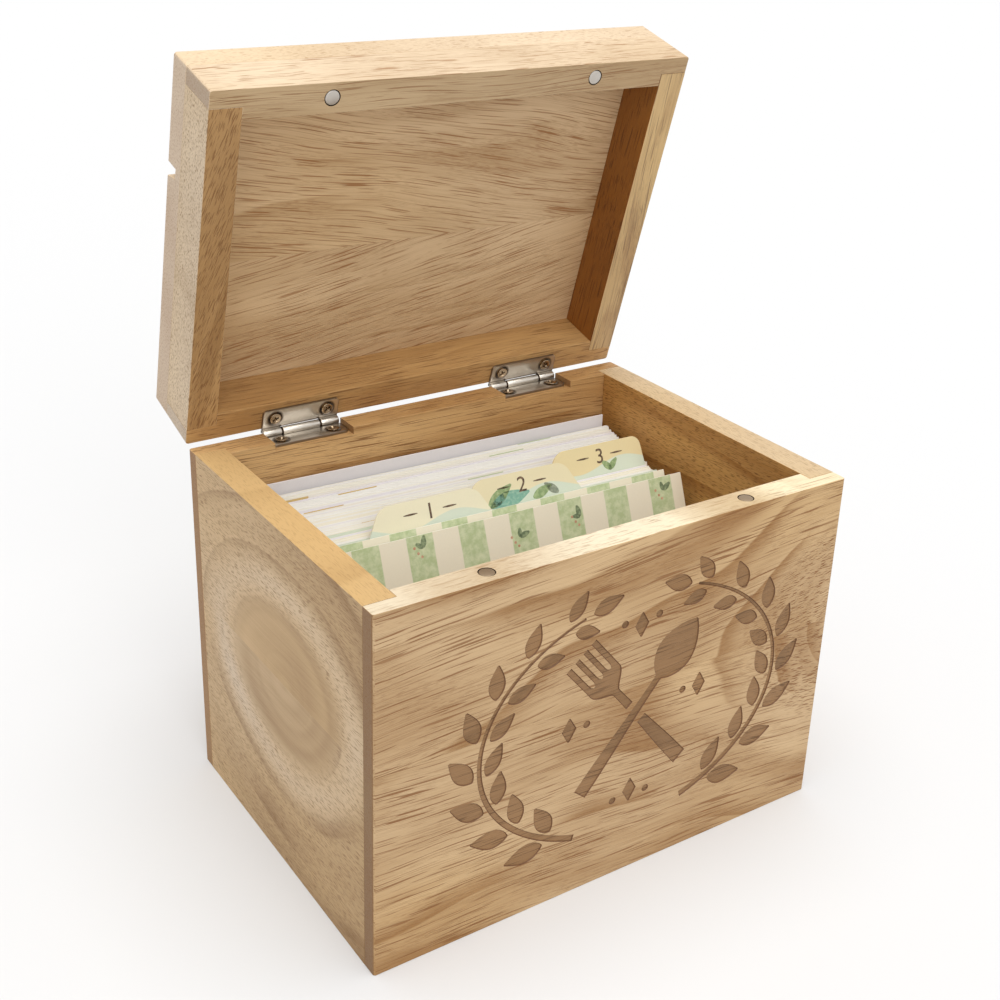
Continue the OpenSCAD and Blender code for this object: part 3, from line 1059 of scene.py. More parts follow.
# %% Materials of the front board and its engraving
FRONT_GRAIN = dict(
    axes=GRAIN_X_FACE_XZ, heart=(0.102, 0.074), roundness=1.05, reach=0.055, spread=-0.06, seed=1.3,
    wander=0.9, rings=(84.0, 0.15, 1.9), dotted=0.047,
)
# The rim tint of each board is painted light and shade on its level faces, for how the top light
# falls on them
front_wood = wood(
    "front wood", tones=TAN, bands=1.0, flecks=0.85, warmth=0.7, rim_light_and_shade=(1.42, 1.8, 2.45),
    rim_flecks=0.6, **FRONT_GRAIN
)
scorched = wood("scorched wood", tones=SCORCHED, bands=0.7, flecks=0.7, **FRONT_GRAIN)
burnt_edge = wood("burnt edge of the engraving", tones=BURNT, bands=0.4, flecks=0.4, **FRONT_GRAIN)

# %% Cut the engraving
for cutter in cutters:
    pull_out(cutter, -ENGRAVE_OUT)
    sink_floor(cutter)
engraver = join("engraver", cutters + [fork_head])
engraver.data.materials.clear()
for material in (scorched, burnt_edge):
    engraver.data.materials.append(material)
for face in engraver.data.polygons:
    on_floor = abs(face.center.y - FACE_Y - ENGRAVE_DEPTH) < CLOSE
    face.material_index = 0 if on_floor else 1
front_board.data.materials.append(front_wood)
combine(front_board, engraver, material_mode="TRANSFER")
print(f"front board: {len(front_board.data.materials)} materials")

# %% [markdown]
# ## Dress the body boards
# Each board now gets its wood. The left side is the show piece: it was sawn just off the heart,
# so its rings close into long ovals.

# %% Dress the body
back_wood = wood(
    "back wood", GRAIN_X_FACE_XZ, GOLDEN, heart=(-0.1, 0.06), roundness=0.7, reach=0.05,
    spread=0.05, seed=7.9, bands=0.7, flecks=0.8, ends=colour(168, 128, 82), tilt=2.5,
)
left_wood = wood(
    "left side wood", GRAIN_Y_FACE_YZ, GREY_TAN, heart=(-0.0065, 0.073), roundness=0.7, reach=1.0,
    spread=0.0, wander=0.5, seed=3.1, bands=0.68, flecks=0.6, heart_radius=0.027,
    rings=(59.0, 0.35, 0.9), dotted=0.2, warmth=0.7, rim_light_and_shade=(1.1, 1.06, 0.9), rim_flecks=0.4,
    tilt=-4.0,
)
right_wood = wood(
    "right side wood", GRAIN_Y_FACE_YZ, AMBER, heart=(0.09, 0.05), roundness=0.6, reach=0.06,
    spread=0.06, seed=5.7, bands=0.8, flecks=0.7, dotted=0.2, rim_light_and_shade=(0.93, 1.21, 2.14),
    rim_flecks=0.5,
)
bottom_wood = wood(
    "bottom wood", GRAIN_X_FACE_XY, GOLDEN, heart=(0.0, 0.02), roundness=0.5, reach=0.05, seed=9.2,
)
line_magnet_holes(front_board)
for piece, grain, material, slot, node in (
    (front_board, "X", front_wood, "board_wood", "front_board"),
    (back_board, "X", back_wood, "board_wood", "back_board"),
    (left_side, "Y", left_wood, "side_wood", "left_side_board"),
    (right_side, "Y", right_wood, "side_wood", "right_side_board"),
    (bottom, "X", bottom_wood, "board_wood", "bottom_board"),
):
    mark_grain(piece, grain)
    dress(piece, material, "box", slot, node)

# %% [markdown]
# ## The lid
# The lid's frame is made like the body's walls, only lower, and a solid top board with a slot for
# standing a card in closes it. All of it is modelled shut and then turned open.

# %% The lid's boards, shut
lid_front = lapped_board("lid_front_rail_wood", -1, RIM_Z, TOP_BOARD_Z)
lid_back = lapped_board("lid_back_rail_wood", 1, RIM_Z, TOP_BOARD_Z)
lid_left = side_board("lid_left_rail_wood", -1, RIM_Z, TOP_BOARD_Z)
lid_right = side_board("lid_right_rail_wood", 1, RIM_Z, TOP_BOARD_Z)
drill_magnet_holes(lid_front, RIM_Z - MM, RIM_Z + MAGNET_T)

lid_top = block(
    "lid_top_board_wood", (-BOX_W / 2, -BOX_D / 2, TOP_BOARD_Z), (BOX_W / 2, BOX_D / 2, LID_TOP_Z)
)
edit(lid_top)
pick_edges(lid_top, upright)
bpy.ops.mesh.bevel(offset=CORNER_R, segments=5, affect="EDGES")
done()
print(f"the lid is {(LID_TOP_Z - RIM_Z) / MM:.1f} mm thick")

# %% [markdown]
# The slot has an upright front wall and a sloping rear one, so a card leans back in it. Its
# cutter is a block whose upper rear edge is moved back.

# %% Cut the card slot
SLOT_Y = 37 * MM - BOX_D / 2
SLOT_MOUTH = 4.9 * MM
SLOT_FLOOR = 3.4 * MM
SLOT_DEPTH = 6 * MM
ABOVE = 2 * MM
rear_y = SLOT_Y + SLOT_FLOOR
slot_cutter = block(
    "slot",
    (-BOX_W / 2 - ABOVE, SLOT_Y, LID_TOP_Z - SLOT_DEPTH),
    (BOX_W / 2 + ABOVE, rear_y, LID_TOP_Z + ABOVE),
)
edit(slot_cutter)
pick_edges(
    slot_cutter, lambda a, b: min(a.y, b.y) > rear_y - CLOSE and min(a.z, b.z) > LID_TOP_Z
)
slope = (SLOT_MOUTH - SLOT_FLOOR) * (1 + ABOVE / SLOT_DEPTH)
bpy.ops.transform.translate(value=(0, slope, 0))
done()
combine(lid_top, slot_cutter)
ease(lid_top, EASE)
print(f"card slot {SLOT_MOUTH / MM:.1f} mm wide at its mouth")

# %% Open the lid and dress it
# The rim tints of the lid's boards are painted light and shade on their level faces
lid_boards = [
    (lid_front, "X", "lid_front_rail", dict(
        axes=GRAIN_X_FACE_XY, tones=PALE_TAN, heart=(-0.03, -0.075), roundness=0.5, reach=0.04,
        spread=0.02, seed=11.4, bands=0.6, flecks=0.7, ends=GREY_END_TONE, warmth=0.5,
        rim_light_and_shade=(0.71, 0.65, 0.55))),
    (lid_back, "X", "lid_back_rail", dict(
        axes=GRAIN_X_FACE_XZ, tones=DEEP_GOLDEN, heart=(0.05, 0.12), roundness=0.5, reach=0.04,
        spread=0.01, seed=13.8, bands=0.7, flecks=0.7, ends=PALE_END_TONE)),
    (lid_left, "Y", "lid_left_rail", dict(
        axes=GRAIN_Y_FACE_YX, tones=ASH, heart=(-0.02, -0.12), roundness=0.6, reach=0.05,
        spread=0.3, seed=15.1, bands=0.9, flecks=0.7, dotted=0.2, ends=PALE_END_TONE, warmth=0.6,
        rim_light_and_shade=(0.62, 0.46, 0.27))),
    # The right rail's brown is painted shade, so its level faces are tinted back much lighter
    (lid_right, "Y", "lid_right_rail", dict(
        axes=GRAIN_Y_FACE_YX, tones=SHADED_BROWN, heart=(0.0, 0.12), roundness=0.6, reach=0.05,
        spread=0.04, seed=17.6, bands=0.6, flecks=0.7, rim_light_and_shade=(2.0, 3.6, 10.0))),
    (lid_top, "X", "lid_top_board", dict(
        axes=GRAIN_X_FACE_XY, tones=PALE_TAN, heart=(-0.11, 0.0062), roundness=0.5, reach=0.03,
        spread=0.2, seed=19.3, bands=0.6, flecks=0.4, ends=PALE_END_TONE, warmth=0.5,
        rim_light_and_shade=(0.93, 0.86, 0.75), rim_flecks=2.0)),
]
for piece, grain, node, looks in lid_boards:
    lid_wood = wood(node.replace("_", " ") + " wood", in_lid=True, **looks)
    piece.data.materials.append(lid_wood)
    if piece is lid_front:
        line_magnet_holes(piece)
    mark_grain(piece, grain)
    stand(piece, LID_TURN)
    dress(piece, lid_wood, "lid", "lid_wood", node)

# %% [markdown]
# ## The sizes of a hinge
# A butt hinge has two leaves that are rolled round one pin. Painted shade, with some grime, darkens
# the metal round the knuckles and the screws, so it needs these sizes as well as the leaves, and
# they come first.

# %% Sizes of the hinge
LEAF_W = 9.5 * MM
LEAF_T = 1.0 * MM
PIN_R = 0.8 * MM
MIDDLE_L = 15 * MM
KNUCKLE_GAP = 0.25 * MM
LEAF_NOTCH = KNUCKLE_R + 0.12 * MM
LEAF_CORNER = 1.6 * MM
SCREW_PITCH = 20.5 * MM
SCREW_ROW = 5.8 * MM
HEAD_R = 2.4 * MM
HEAD_PROUD = 0.5 * MM
SEAT_LOW_R = 1.4 * MM
SEAT_HIGH_R = HEAD_R + 0.55 * MM
SEAT_DEPTH = LEAF_T + 0.2 * MM
ROLL_ANGLE = math.radians(305)
ROLL_STEPS = 22

# %% [markdown]
# ## Metal
# The hinges are stamped from thin steel and nickel plated. Plating reflects almost like a mirror,
# but handling leaves it cloudy, so its roughness changes slowly over the surface and a few fine
# scratches run along it. A dark line is painted where a cloth can't reach, as painted shade with
# some old polish and dust, and the ends and edges get a painted dark reflection.


# %% The metal group
def build_plating():
    inputs = [
        ("Place", "Vector", (0, 0, 0)),
        ("Bright", "Color", (1, 1, 1, 1)),
        ("Dull", "Color", (0.5, 0.5, 0.5, 1)),
        ("Polish", "Float", 0.2),
    ]
    bench, source = new_group("Plating", inputs)
    cloud = bench.even_noise(source["Place"], 170.0)
    scratch = bench.noise(source["Place"], (120.0, 4200.0, 4200.0))
    dirt = bench.step(bench.even_noise(source["Place"], 420.0), 0.55, 0.8)
    tone = cloud * 0.5 - 0.2 + dirt * 0.2
    worn = cloud * 0.12 + dirt * 0.06 + bench.step(scratch, 0.55, 0.75) * 0.1
    return close_group(
        bench,
        Color=bench.mix(tone, source["Bright"], source["Dull"]),
        Roughness=source["Polish"] + worn,
        Height=scratch * 0.5 + cloud * 0.5,
    )


plating = build_plating()

# %% Metals
# The colour of painted shade, with some grime, on the hinges
SHADE_AND_GRIME = colour(74, 54, 38)
FOLD_R = 2.1 * MM


def metal(name, bright, dull, polish, bump=0.1, shade_and_grime=None):
    """A plated metal; the last argument takes the bench and gives a mask of painted shade and
    grime.
    """
    material, bench = new_material(name)
    inputs = {"Place": bench.place(), "Bright": bright, "Dull": dull, "Polish": polish}
    plate = bench.wires("ShaderNodeGroup", inputs, node_tree=plating)
    if shade_and_grime:
        plate["Color"] = bench.mix(shade_and_grime(bench), plate["Color"], SHADE_AND_GRIME)
    finish_surface(bench, plate, bump, 0.1 * MM, Metallic=1.0)
    return material


def hinge_shade_and_grime(bench):
    """Painted shade with some grime: dark where two knuckles meet, where a plate leaves the barrel
    and round screws, and a painted dark reflection at the ends and edges.
    Both leaves are measured by their distance from the pin's axis, which the lid's turn keeps."""
    x, y, z = bench.split(bench.place())
    along = bench.size(bench.size(x) - HINGE_X)
    out = bench.length(bench.vector(0.0, y - PIN.y, z - PIN.z))
    joint = bench.step(bench.size(along - (MIDDLE_L + KNUCKLE_GAP) / 2), 0.5 * MM, 0.3 * MM)
    joint = joint * bench.step(out, FOLD_R, FOLD_R - 0.3 * MM)
    fold = bench.step(bench.size(out - FOLD_R), 0.5 * MM, 0.15 * MM)
    screw_out = math.hypot(SCREW_ROW, KNUCKLE_R - LEAF_T / 2)
    screw = bench.length(bench.vector(along - SCREW_PITCH / 2, out - screw_out, 0.0))
    screw = bench.step(screw, HEAD_R + 1.2 * MM, HEAD_R + 0.4 * MM)
    # The ends and the outer edge get a painted dark reflection
    end = bench.step(along, HINGE_L / 2 - 0.5 * MM, HINGE_L / 2)
    rim = bench.step(out, LEAF_W - 0.4 * MM, LEAF_W + 0.1 * MM)
    faint = bench.larger(bench.larger(fold, screw) * 0.75, bench.larger(end, rim) * 0.6)
    return bench.larger(joint, faint)


hinge_steel = metal(
    "plated steel", colour(208, 201, 190), colour(134, 119, 101), 0.24, bump=0.02, shade_and_grime=hinge_shade_and_grime
)
screw_steel = metal("screw steel", colour(184, 164, 138), colour(78, 58, 38), 0.16, bump=0.03)
lid_magnet_metal = metal("bright magnet", colour(196, 190, 182), colour(154, 146, 136), 0.34)
body_magnet_metal = metal("dull magnet", colour(152, 134, 112), colour(112, 96, 78), 0.5)
pin_steel = metal("pin steel", colour(170, 162, 152), colour(110, 100, 90), 0.3)

# %% [markdown]
# ## A hinge leaf
# A butt hinge's leaf is a plate whose edge is rolled round the pin. The plate is a block cut
# across where the knuckles begin and end. The rear edge is pulled out at the knuckles alone, and
# spun round the pin's axis, which is just how the press rolls it. Two screws sit in countersunk
# holes.


# %% Roll a leaf
def cut_across(x):
    """Cuts the piece that is open across at x, and keeps both parts."""
    bpy.ops.mesh.select_all(action="SELECT")
    bpy.ops.mesh.bisect(plane_co=(x, 0, 0), plane_no=(1, 0, 0))


def hinge_leaf(name, knuckles):
    """A leaf that lies flat below the pin's axis at the origin, its plate towards -Y."""
    low_z, high_z = -KNUCKLE_R, LEAF_T - KNUCKLE_R
    piece = block(name, (-HINGE_L / 2, -LEAF_W, low_z), (HINGE_L / 2, -LEAF_NOTCH, high_z))
    edit(piece)
    pick_edges(piece, lambda a, b: upright(a, b, 0.1 * MM) and a.y < CLOSE - LEAF_W)
    bpy.ops.mesh.bevel(offset=LEAF_CORNER, segments=8, affect="EDGES")
    for x in sorted({x for ends in knuckles for x in ends}):
        if abs(x) < HINGE_L / 2 - CLOSE:
            cut_across(x)
    in_knuckle = lambda x: any(a < x < b for a, b in knuckles)
    pick_faces(piece, lambda middle, normal: normal.y > 0.9 and in_knuckle(middle.x))
    extrude(0, LEAF_NOTCH, 0)
    # The rolled part is pressed thinner, down to the pin
    mesh = bmesh.from_edit_mesh(piece.data)
    for vertex in mesh.verts:
        if vertex.co.y > -CLOSE and abs(vertex.co.z - high_z) < CLOSE:
            vertex.co.z = -PIN_R
    bmesh.update_edit_mesh(piece.data)
    bpy.ops.mesh.spin(
        steps=ROLL_STEPS, angle=ROLL_ANGLE, center=(0, 0, 0), axis=(1, 0, 0), dupli=False
    )
    bpy.ops.mesh.select_all(action="SELECT")
    bpy.ops.mesh.remove_doubles(threshold=CLOSE / 2)
    bpy.ops.mesh.normals_make_consistent(inside=False)
    done()
    return piece


# %% Finish a leaf
def countersink(piece):
    """Cone-shaped holes for the two screws, a little wider than their heads."""
    for end in (-1, 1):
        none_selected()
        bpy.ops.mesh.primitive_cone_add(
            vertices=40,
            radius1=SEAT_LOW_R,
            radius2=SEAT_HIGH_R,
            depth=SEAT_DEPTH,
            location=(end * SCREW_PITCH / 2, -SCREW_ROW, LEAF_T / 2 - KNUCKLE_R),
        )
        combine(piece, settle(bpy.context.object))


def leaf_kind(name, knuckles):
    """A whole leaf, with its holes and its edges worn smooth."""
    piece = hinge_leaf(name, knuckles)
    countersink(piece)
    round_edges(piece, 0.09 * MM, 2, 50)
    smooth(piece, 32)
    print(f"{name}: {len(piece.data.polygons)} faces")
    return piece


# %% [markdown]
# ## Place the hinges
# Leaves are rolled at the origin once for each kind and copied, each copy with its own mesh. The
# lid's leaf is the same plate upside down with the two outer knuckles.

# %% Both kinds of leaf
room = MIDDLE_L / 2 + KNUCKLE_GAP
body_kind = leaf_kind("body leaf", [(-MIDDLE_L / 2, MIDDLE_L / 2)])
lid_kind = leaf_kind("lid leaf", [(-HINGE_L / 2, -room), (room, HINGE_L / 2)])


def copy_to(kind, name, matrix):
    """A copy of a piece, with its own mesh, set in place."""
    piece = bpy.data.objects.new(name, kind.data.copy())
    bpy.context.scene.collection.objects.link(piece)
    piece.data.transform(matrix)
    if matrix.determinant() < 0:
        piece.data.flip_normals()
    piece.data.update()
    return piece


# %% The leaves in place
UPSIDE_DOWN = Matrix.Scale(-1, 4, (0, 0, 1))
on_body, on_lid = {}, {}
for word, side in SIDES.items():
    on_body[word] = Matrix.Translation((side * HINGE_X, PIN.y, PIN.z))
    on_lid[word] = LID_TURN @ on_body[word] @ UPSIDE_DOWN
for word in SIDES:
    leaf = copy_to(body_kind, f"{word}_rolled_body_leaf", on_body[word])
    dress(leaf, hinge_steel, "box", "hinge_steel", f"{word}_hinge_body_leaf")
    leaf = copy_to(lid_kind, f"{word}_rolled_lid_leaf", on_lid[word])
    dress(leaf, hinge_steel, "lid", "hinge_steel", f"{word}_hinge_lid_leaf")

# %% The pins
for word, side in SIDES.items():
    start = (side * HINGE_X - HINGE_L / 2, PIN.y, PIN.z)
    pin = rod(f"{word}_steel_pin", start, PIN_R, HINGE_L, "X", sides=32)
    round_edges(pin, 0.2 * MM, 2)
    smooth(pin, 30)
    stand(pin, LID_TURN)
    dress(pin, pin_steel, "lid", "hinge_steel", f"{word}_hinge_pin")

# %% [markdown]
# ## The screws
# The heads are raised and countersunk, with a cross recess. A head is a short cylinder whose
# lower face is scaled down to the shank, whose upper rim is rounded into a dome, and which then
# gets its cross by two tapered cuts.

# %% Model one screw
SHANK_R = 1.1 * MM
SHANK_L = 7 * MM
DOME = 0.5 * MM
CROSS_HALF_L = 1.5 * MM
CROSS_HALF_W = 0.36 * MM


def model_screw():
    """A screw point down, its leaf's upper face at z = 0."""
    piece = rod("screw", (0, 0, -LEAF_T), HEAD_R, LEAF_T + HEAD_PROUD, "Z", sides=40)
    edit(piece)
    pick_faces(piece, lambda middle, normal: normal.z < -0.9)
    shrink = SHANK_R / HEAD_R
    bpy.ops.transform.resize(value=(shrink, shrink, 1), center_override=(0, 0, -LEAF_T))
    extrude(0, 0, -SHANK_L)
    extrude(0, 0, -SHANK_R)
    bpy.ops.transform.resize(value=(0.2, 0.2, 1), center_override=(0, 0, -LEAF_T - SHANK_L))
    pick_faces(piece, lambda middle, normal: normal.z > 0.9)
    bpy.ops.mesh.bevel(offset=DOME, offset_type="OFFSET", segments=4, affect="EDGES")
    done()
    # The two cuts differ a little in depth, so that their floors don't lie in one plane
    for turn, depth in ((45, 0.75 * MM), (135, 0.8 * MM)):
        cross = block(
            "cross", (-CROSS_HALF_L, -CROSS_HALF_W, -depth), (CROSS_HALF_L, CROSS_HALF_W, MM)
        )
        edit(cross)
        pick_faces(cross, lambda middle, normal: normal.z < -0.9)
        bpy.ops.transform.resize(value=(0.45, 0.6, 1))
        done()
        combine(piece, stand(cross, Matrix.Rotation(math.radians(turn), 4, "Z")))
    smooth(piece, 35)
    return piece


screw_kind = model_screw()
print("screw:", len(screw_kind.data.polygons), "faces")


# %% Drive the screws
def screw_pair(name, place, turns):
    """Two copies of the screw joined into one piece, each stopped at its own turn."""
    pair = []
    for end, turn in zip((-1, 1), turns):
        seat = Matrix.Translation((end * SCREW_PITCH / 2, -SCREW_ROW, LEAF_T - KNUCKLE_R))
        spin = Matrix.Rotation(math.radians(turn), 4, "Z")
        pair.append(copy_to(screw_kind, name, place @ seat @ spin))
    return join(name, pair)


for word in SIDES:
    pair = screw_pair(f"{word}_driven_body_screws", on_body[word], (10, 35))
    dress(pair, screw_steel, "box", "screw_steel", f"{word}_hinge_body_screws")
    pair = screw_pair(f"{word}_driven_lid_screws", on_lid[word], (20, 5))
    dress(pair, screw_steel, "lid", "screw_steel", f"{word}_hinge_lid_screws")
for kind in (body_kind, lid_kind, screw_kind):
    bpy.data.objects.remove(kind)

# %% [markdown]
# ## The magnets
# Each is a flat disc with a softly turned rim. The lid's pair is bright from touching the other,
# and the body's pair has gone dull.

# %% Make the magnets
MAGNETS = [
    ("body", "box", BOX_H - MAGNET_T, body_magnet_metal),
    ("lid", "lid", RIM_Z, lid_magnet_metal),
]
for word, side in SIDES.items():
    for place, body, low_z, metal_of_disc in MAGNETS:
        start = (side * MAGNET_X, MAGNET_Y, low_z)
        disc = rod(f"{word}_{place}_magnet_disc", start, MAGNET_R, MAGNET_T, "Z", sides=64)
        round_edges(disc, 0.22 * MM, 3)
        smooth(disc, 30)
        if body == "lid":
            stand(disc, LID_TURN)
        dress(disc, metal_of_disc, body, "magnet_nickel", f"{word}_{place}_magnet")

# %% [markdown]
# ## Card
# Card is matt and faintly fibrous. Printed sheets also need to know where on the sheet a point
# is, so every sheet carries that place as an attribute, which goes with it however it leans. A
# second attribute tints each sheet of a pack a little differently.

# %% Sheets
LEAN = math.radians(22)
YAW = math.radians(2)
CARD_W = 152.4 * MM
CARD_H = 101.6 * MM
CARD_T = 0.6 * MM
FRONT_CARD_H = 105 * MM
SECOND_CARD_H = 104.2 * MM
REAR_CARD_H = 103.4 * MM
REAR_SHIFT = -1.5 * MM
REAR_TINT = 0.93
WALL_GAP = 0.4 * MM
PACK_GAP = 2.3 * MM
PAPER_EDGE = 0.06 * MM
REAR_Y = BOX_D / 2 - END_T - WALL_GAP - CARD_W / 2 * math.sin(YAW)
PACK_FOOT_Y = REAR_Y - CARD_T - PACK_GAP - CARD_H * math.sin(LEAN)
IN_BOX = Matrix.Translation((0, 0, FLOOR_T)) @ Matrix.Rotation(-YAW, 4, "Z")


def leaning(forward, shift, thickness, lean=LEAN):
    """Where a sheet drawn from y = 0 back stands, forward of the back of the pack. A sheet that
    leans less has its foot further back, so that the tops stay evenly spread."""
    foot = PACK_FOOT_Y - forward + CARD_H * (math.sin(LEAN) - math.sin(lean))
    return (
        IN_BOX
        @ Matrix.Translation((shift, foot, 0))
        @ Matrix.Rotation(-lean, 4, "X")
        @ Matrix.Translation((0, -thickness, 0))
    )


def note_places(piece, tint):
    """Keeps each point's place on the sheet, and the sheet's tint, as attributes."""
    mesh = piece.data
    mesh.attributes.new("on_sheet", "FLOAT_VECTOR", "POINT")
    mesh.attributes.new("tint", "FLOAT", "POINT")
    places, tints = mesh.attributes["on_sheet"], mesh.attributes["tint"]
    for vertex, place, shade in zip(mesh.vertices, places.data, tints.data):
        place.vector = vertex.co
        shade.value = tint


def plain_sheet(name, height, thickness, tint=0.0):
    """A rectangular sheet standing on its lower edge at the origin, its front face at y = 0."""
    piece = block(name, (-CARD_W / 2, 0, 0), (CARD_W / 2, thickness, height))
    round_edges(piece, PAPER_EDGE, 1)
    note_places(piece, tint)
    return piece


print(f"the pack's foot is {(BOX_D / 2 - PACK_FOOT_Y) / MM:.1f} mm from the back of the box")

# %% [markdown]
# ## Paper materials
# All three papers share a group for their fibres. Recipe cards are white, cream or faintly lilac.
# Dividers are pale green with a cream tab. The striped cards have broad painted stripes, which
# are mottled like a watercolour wash.


# %% The paper group
def build_paper():
    bench, source = new_group("Paper", [("Color", "Color", (1, 1, 1, 1))])
    place = bench.attribute("on_sheet", "Vector")
    fibres = bench.even_noise(place, 1400.0, 3.0, 0.6)
    cloud = bench.even_noise(place, 60.0)
    shade = (cloud - 0.5) * 0.05 + (fibres * 0.06 + 0.97)
    return close_group(
        bench,
        Color=bench.tinted(1.0, source["Color"], bench.vector(shade, shade, shade)),
        Roughness=fibres * 0.15 + 0.6,
        Height=fibres,
    )


paper = build_paper()


def card_material(name, paint):
    """A matt card; paint takes the bench and gives the colour over the sheet."""
    material, bench = new_material(name)
    sheet = bench.wires("ShaderNodeGroup", {"Color": paint(bench)}, node_tree=paper)
    finish_surface(bench, sheet, 0.15, 0.1 * MM, **{"Specular IOR Level": 0.3})
    return material


# %% Paint of the recipe cards
WHITE = colour(238, 236, 230)
LILAC = colour(230, 226, 228)
CREAM = colour(236, 230, 212)
OCHRE_MARK = colour(206, 178, 120)
GREEN_MARK = colour(190, 200, 158)
MARK_SPREAD = 150 * MM
MARK_HALF = 8 * MM


def paint_recipe_card(bench):
    """White, cream and lilac sheets, told apart by their tint; some have a short printed mark."""
    tint = bench.attribute("tint")
    warm = bench.mix(bench.step(tint, 0.35, 0.75), WHITE, CREAM)
    plain = bench.mix(bench.step(tint, 0.8, 0.95), warm, LILAC)
    x, _, z = bench.split(bench.attribute("on_sheet", "Vector"))
    draw = bench.math("FRACT", tint * 17.3)
    away = bench.size(x - (draw * MARK_SPREAD - MARK_SPREAD / 2))
    near = bench.step(away, MARK_HALF, MARK_HALF - 0.6 * MM)
    near = near * bench.step(z, CARD_H - 2.2 * MM, CARD_H - 1.8 * MM)
    chosen = bench.step(bench.math("FRACT", tint * 7.7), 0.66, 0.68)
    hue = bench.mix(bench.step(draw, 0.3, 0.31), OCHRE_MARK, GREEN_MARK)
    return bench.mix(near * chosen, plain, hue)


recipe_paper = card_material("recipe card", paint_recipe_card)

# %% Paint of the dividers
PALE_CREAM = colour(236, 229, 198)
DEEP_CREAM = colour(228, 211, 164)
MINT = colour(214, 222, 202)
TAB_H = 11 * MM
TAB_HALF = 19 * MM
TAB_FLARE = 6 * MM
TAB_PITCH = 40 * MM
TAB_X = 16 * MM
TAB_CORNER = 3.5 * MM


def paint_divider(bench):
    """Pale green, with a cream tab above a softly curved edge."""
    x, _, z = bench.split(bench.attribute("on_sheet", "Vector"))
    wave = bench.math("SINE", (x - TAB_X) * (2 * math.pi / TAB_PITCH))
    edge = wave * (2.2 * MM) + (CARD_H + 2.6 * MM)
    cream = bench.mix(bench.attribute("tint"), PALE_CREAM, DEEP_CREAM)
    return bench.mix(bench.step(z - edge, 0.0, 0.4 * MM), MINT, cream)


divider_paper = card_material("divider card", paint_divider)

# %% Paint of the striped cards
STRIPE_CREAM = colour(236, 228, 204)
STRIPE_GREEN = colour(182, 196, 148)
STRIPE_PALE_GREEN = colour(212, 218, 180)
STRIPE_PITCH = 20.4 * MM


def paint_stripes(bench):
    """Broad upright stripes with a wash in the green ones; edges and back stay white."""
    place = bench.attribute("on_sheet", "Vector")
    x, y, _ = bench.split(place)
    wobble = bench.noise(place, (500.0, 500.0, 90.0)) * (0.4 * MM)
    wave = bench.math("SINE", (x + wobble) * (2 * math.pi / STRIPE_PITCH))
    wash = bench.step(bench.even_noise(place, 330.0, 4.0, 0.65), 0.35, 0.7)
    leaf = bench.mix(wash, STRIPE_GREEN, STRIPE_PALE_GREEN)
    printed = bench.mix(bench.step(wave, -0.06, 0.06), STRIPE_CREAM, leaf)
    return bench.mix(bench.step(y, 0.04 * MM, 0.07 * MM), printed, WHITE)


striped_paper = card_material("striped card", paint_stripes)

# %% [markdown]
# ## The packs
# A pack is one thin sheet made again for every card in it. Real packs are never quite squared up,
# so each sheet is pushed a little sideways and up, by the same random draw every time.

# %% Stand the packs
SHEET_T = 0.28 * MM
JOG = 0.6 * MM
UNEVEN = 0.7 * MM
RIGHT_AT = 26.9 * MM
CENTRE_AT = 34.7 * MM
LEFT_AT = 38.5 * MM
SECOND_AT = 40.9 * MM
FRONT_AT = 47.5 * MM
BEHIND = 0.9 * MM
BEFORE = 0.3 * MM
deck = random.Random(5)


def pack(name, body, node, first, last, count, shift, rear_lean=LEAN, height=CARD_H):
    """Sheets spread evenly between two places, as one piece; the rear ones may lean less."""
    sheets = []
    for i in range(count):
        share = (i + 0.5) / count
        tint = deck.random()
        sheet = plain_sheet(name, height - deck.random() * UNEVEN, SHEET_T, tint)
        lean = rear_lean + (LEAN - rear_lean) * min(1.0, share * 1.4)
        forward = first + (last - first) * share
        place = leaning(forward, shift + deck.uniform(-JOG, JOG), SHEET_T, lean)
        sheets.append(stand(sheet, place))
    dress(join(name, sheets), recipe_paper, body, "white_card", node)


pack(
    "main_pack", "box", "recipe_cards", -1.2 * MM, RIGHT_AT - BEFORE, 58, -0.8 * MM,
    rear_lean=math.radians(11),
)
pack(
    "centre_pack", "centre_packet", "centre_packet", RIGHT_AT + BEHIND, CENTRE_AT - BEFORE, 12,
    -2.5 * MM,
)
pack("left_pack", "left_packet", "left_packet", CENTRE_AT + BEHIND, LEFT_AT - BEFORE, 5, -2.5 * MM)
pack(
    "front_pack", "front_packet", "front_packet", SECOND_AT + 2.2 * MM, FRONT_AT - 0.6 * MM, 8,
    -2.5 * MM, height=CARD_H - 1.2 * MM,
)

# %% The rear card and the striped cards
rear_place = IN_BOX @ Matrix.Translation((REAR_SHIFT, REAR_Y - CARD_T, 0))
rear = stand(plain_sheet("plain_rear_card", REAR_CARD_H, CARD_T, REAR_TINT), rear_place)
dress(rear, recipe_paper, "rear_card", "white_card", "rear_card")

second_place = leaning(SECOND_AT, -3 * MM, CARD_T)
second = stand(plain_sheet("second_card_with_stripes", SECOND_CARD_H, CARD_T), second_place)
dress(second, striped_paper, "second_striped_card", "striped_card", "second_striped_card")

front_place = leaning(FRONT_AT, 0.0, CARD_T)
front_card = stand(plain_sheet("front_card_with_stripes", FRONT_CARD_H, CARD_T), front_place)
dress(front_card, striped_paper, "front_striped_card", "striped_card", "front_striped_card")

# %% [markdown]
# ## The tabbed dividers
# A divider is a card with a tab that flares where it meets the card. The card's block is cut
# across where the tab starts and ends, the top edge is pulled up there, and its upper corners are
# rounded.


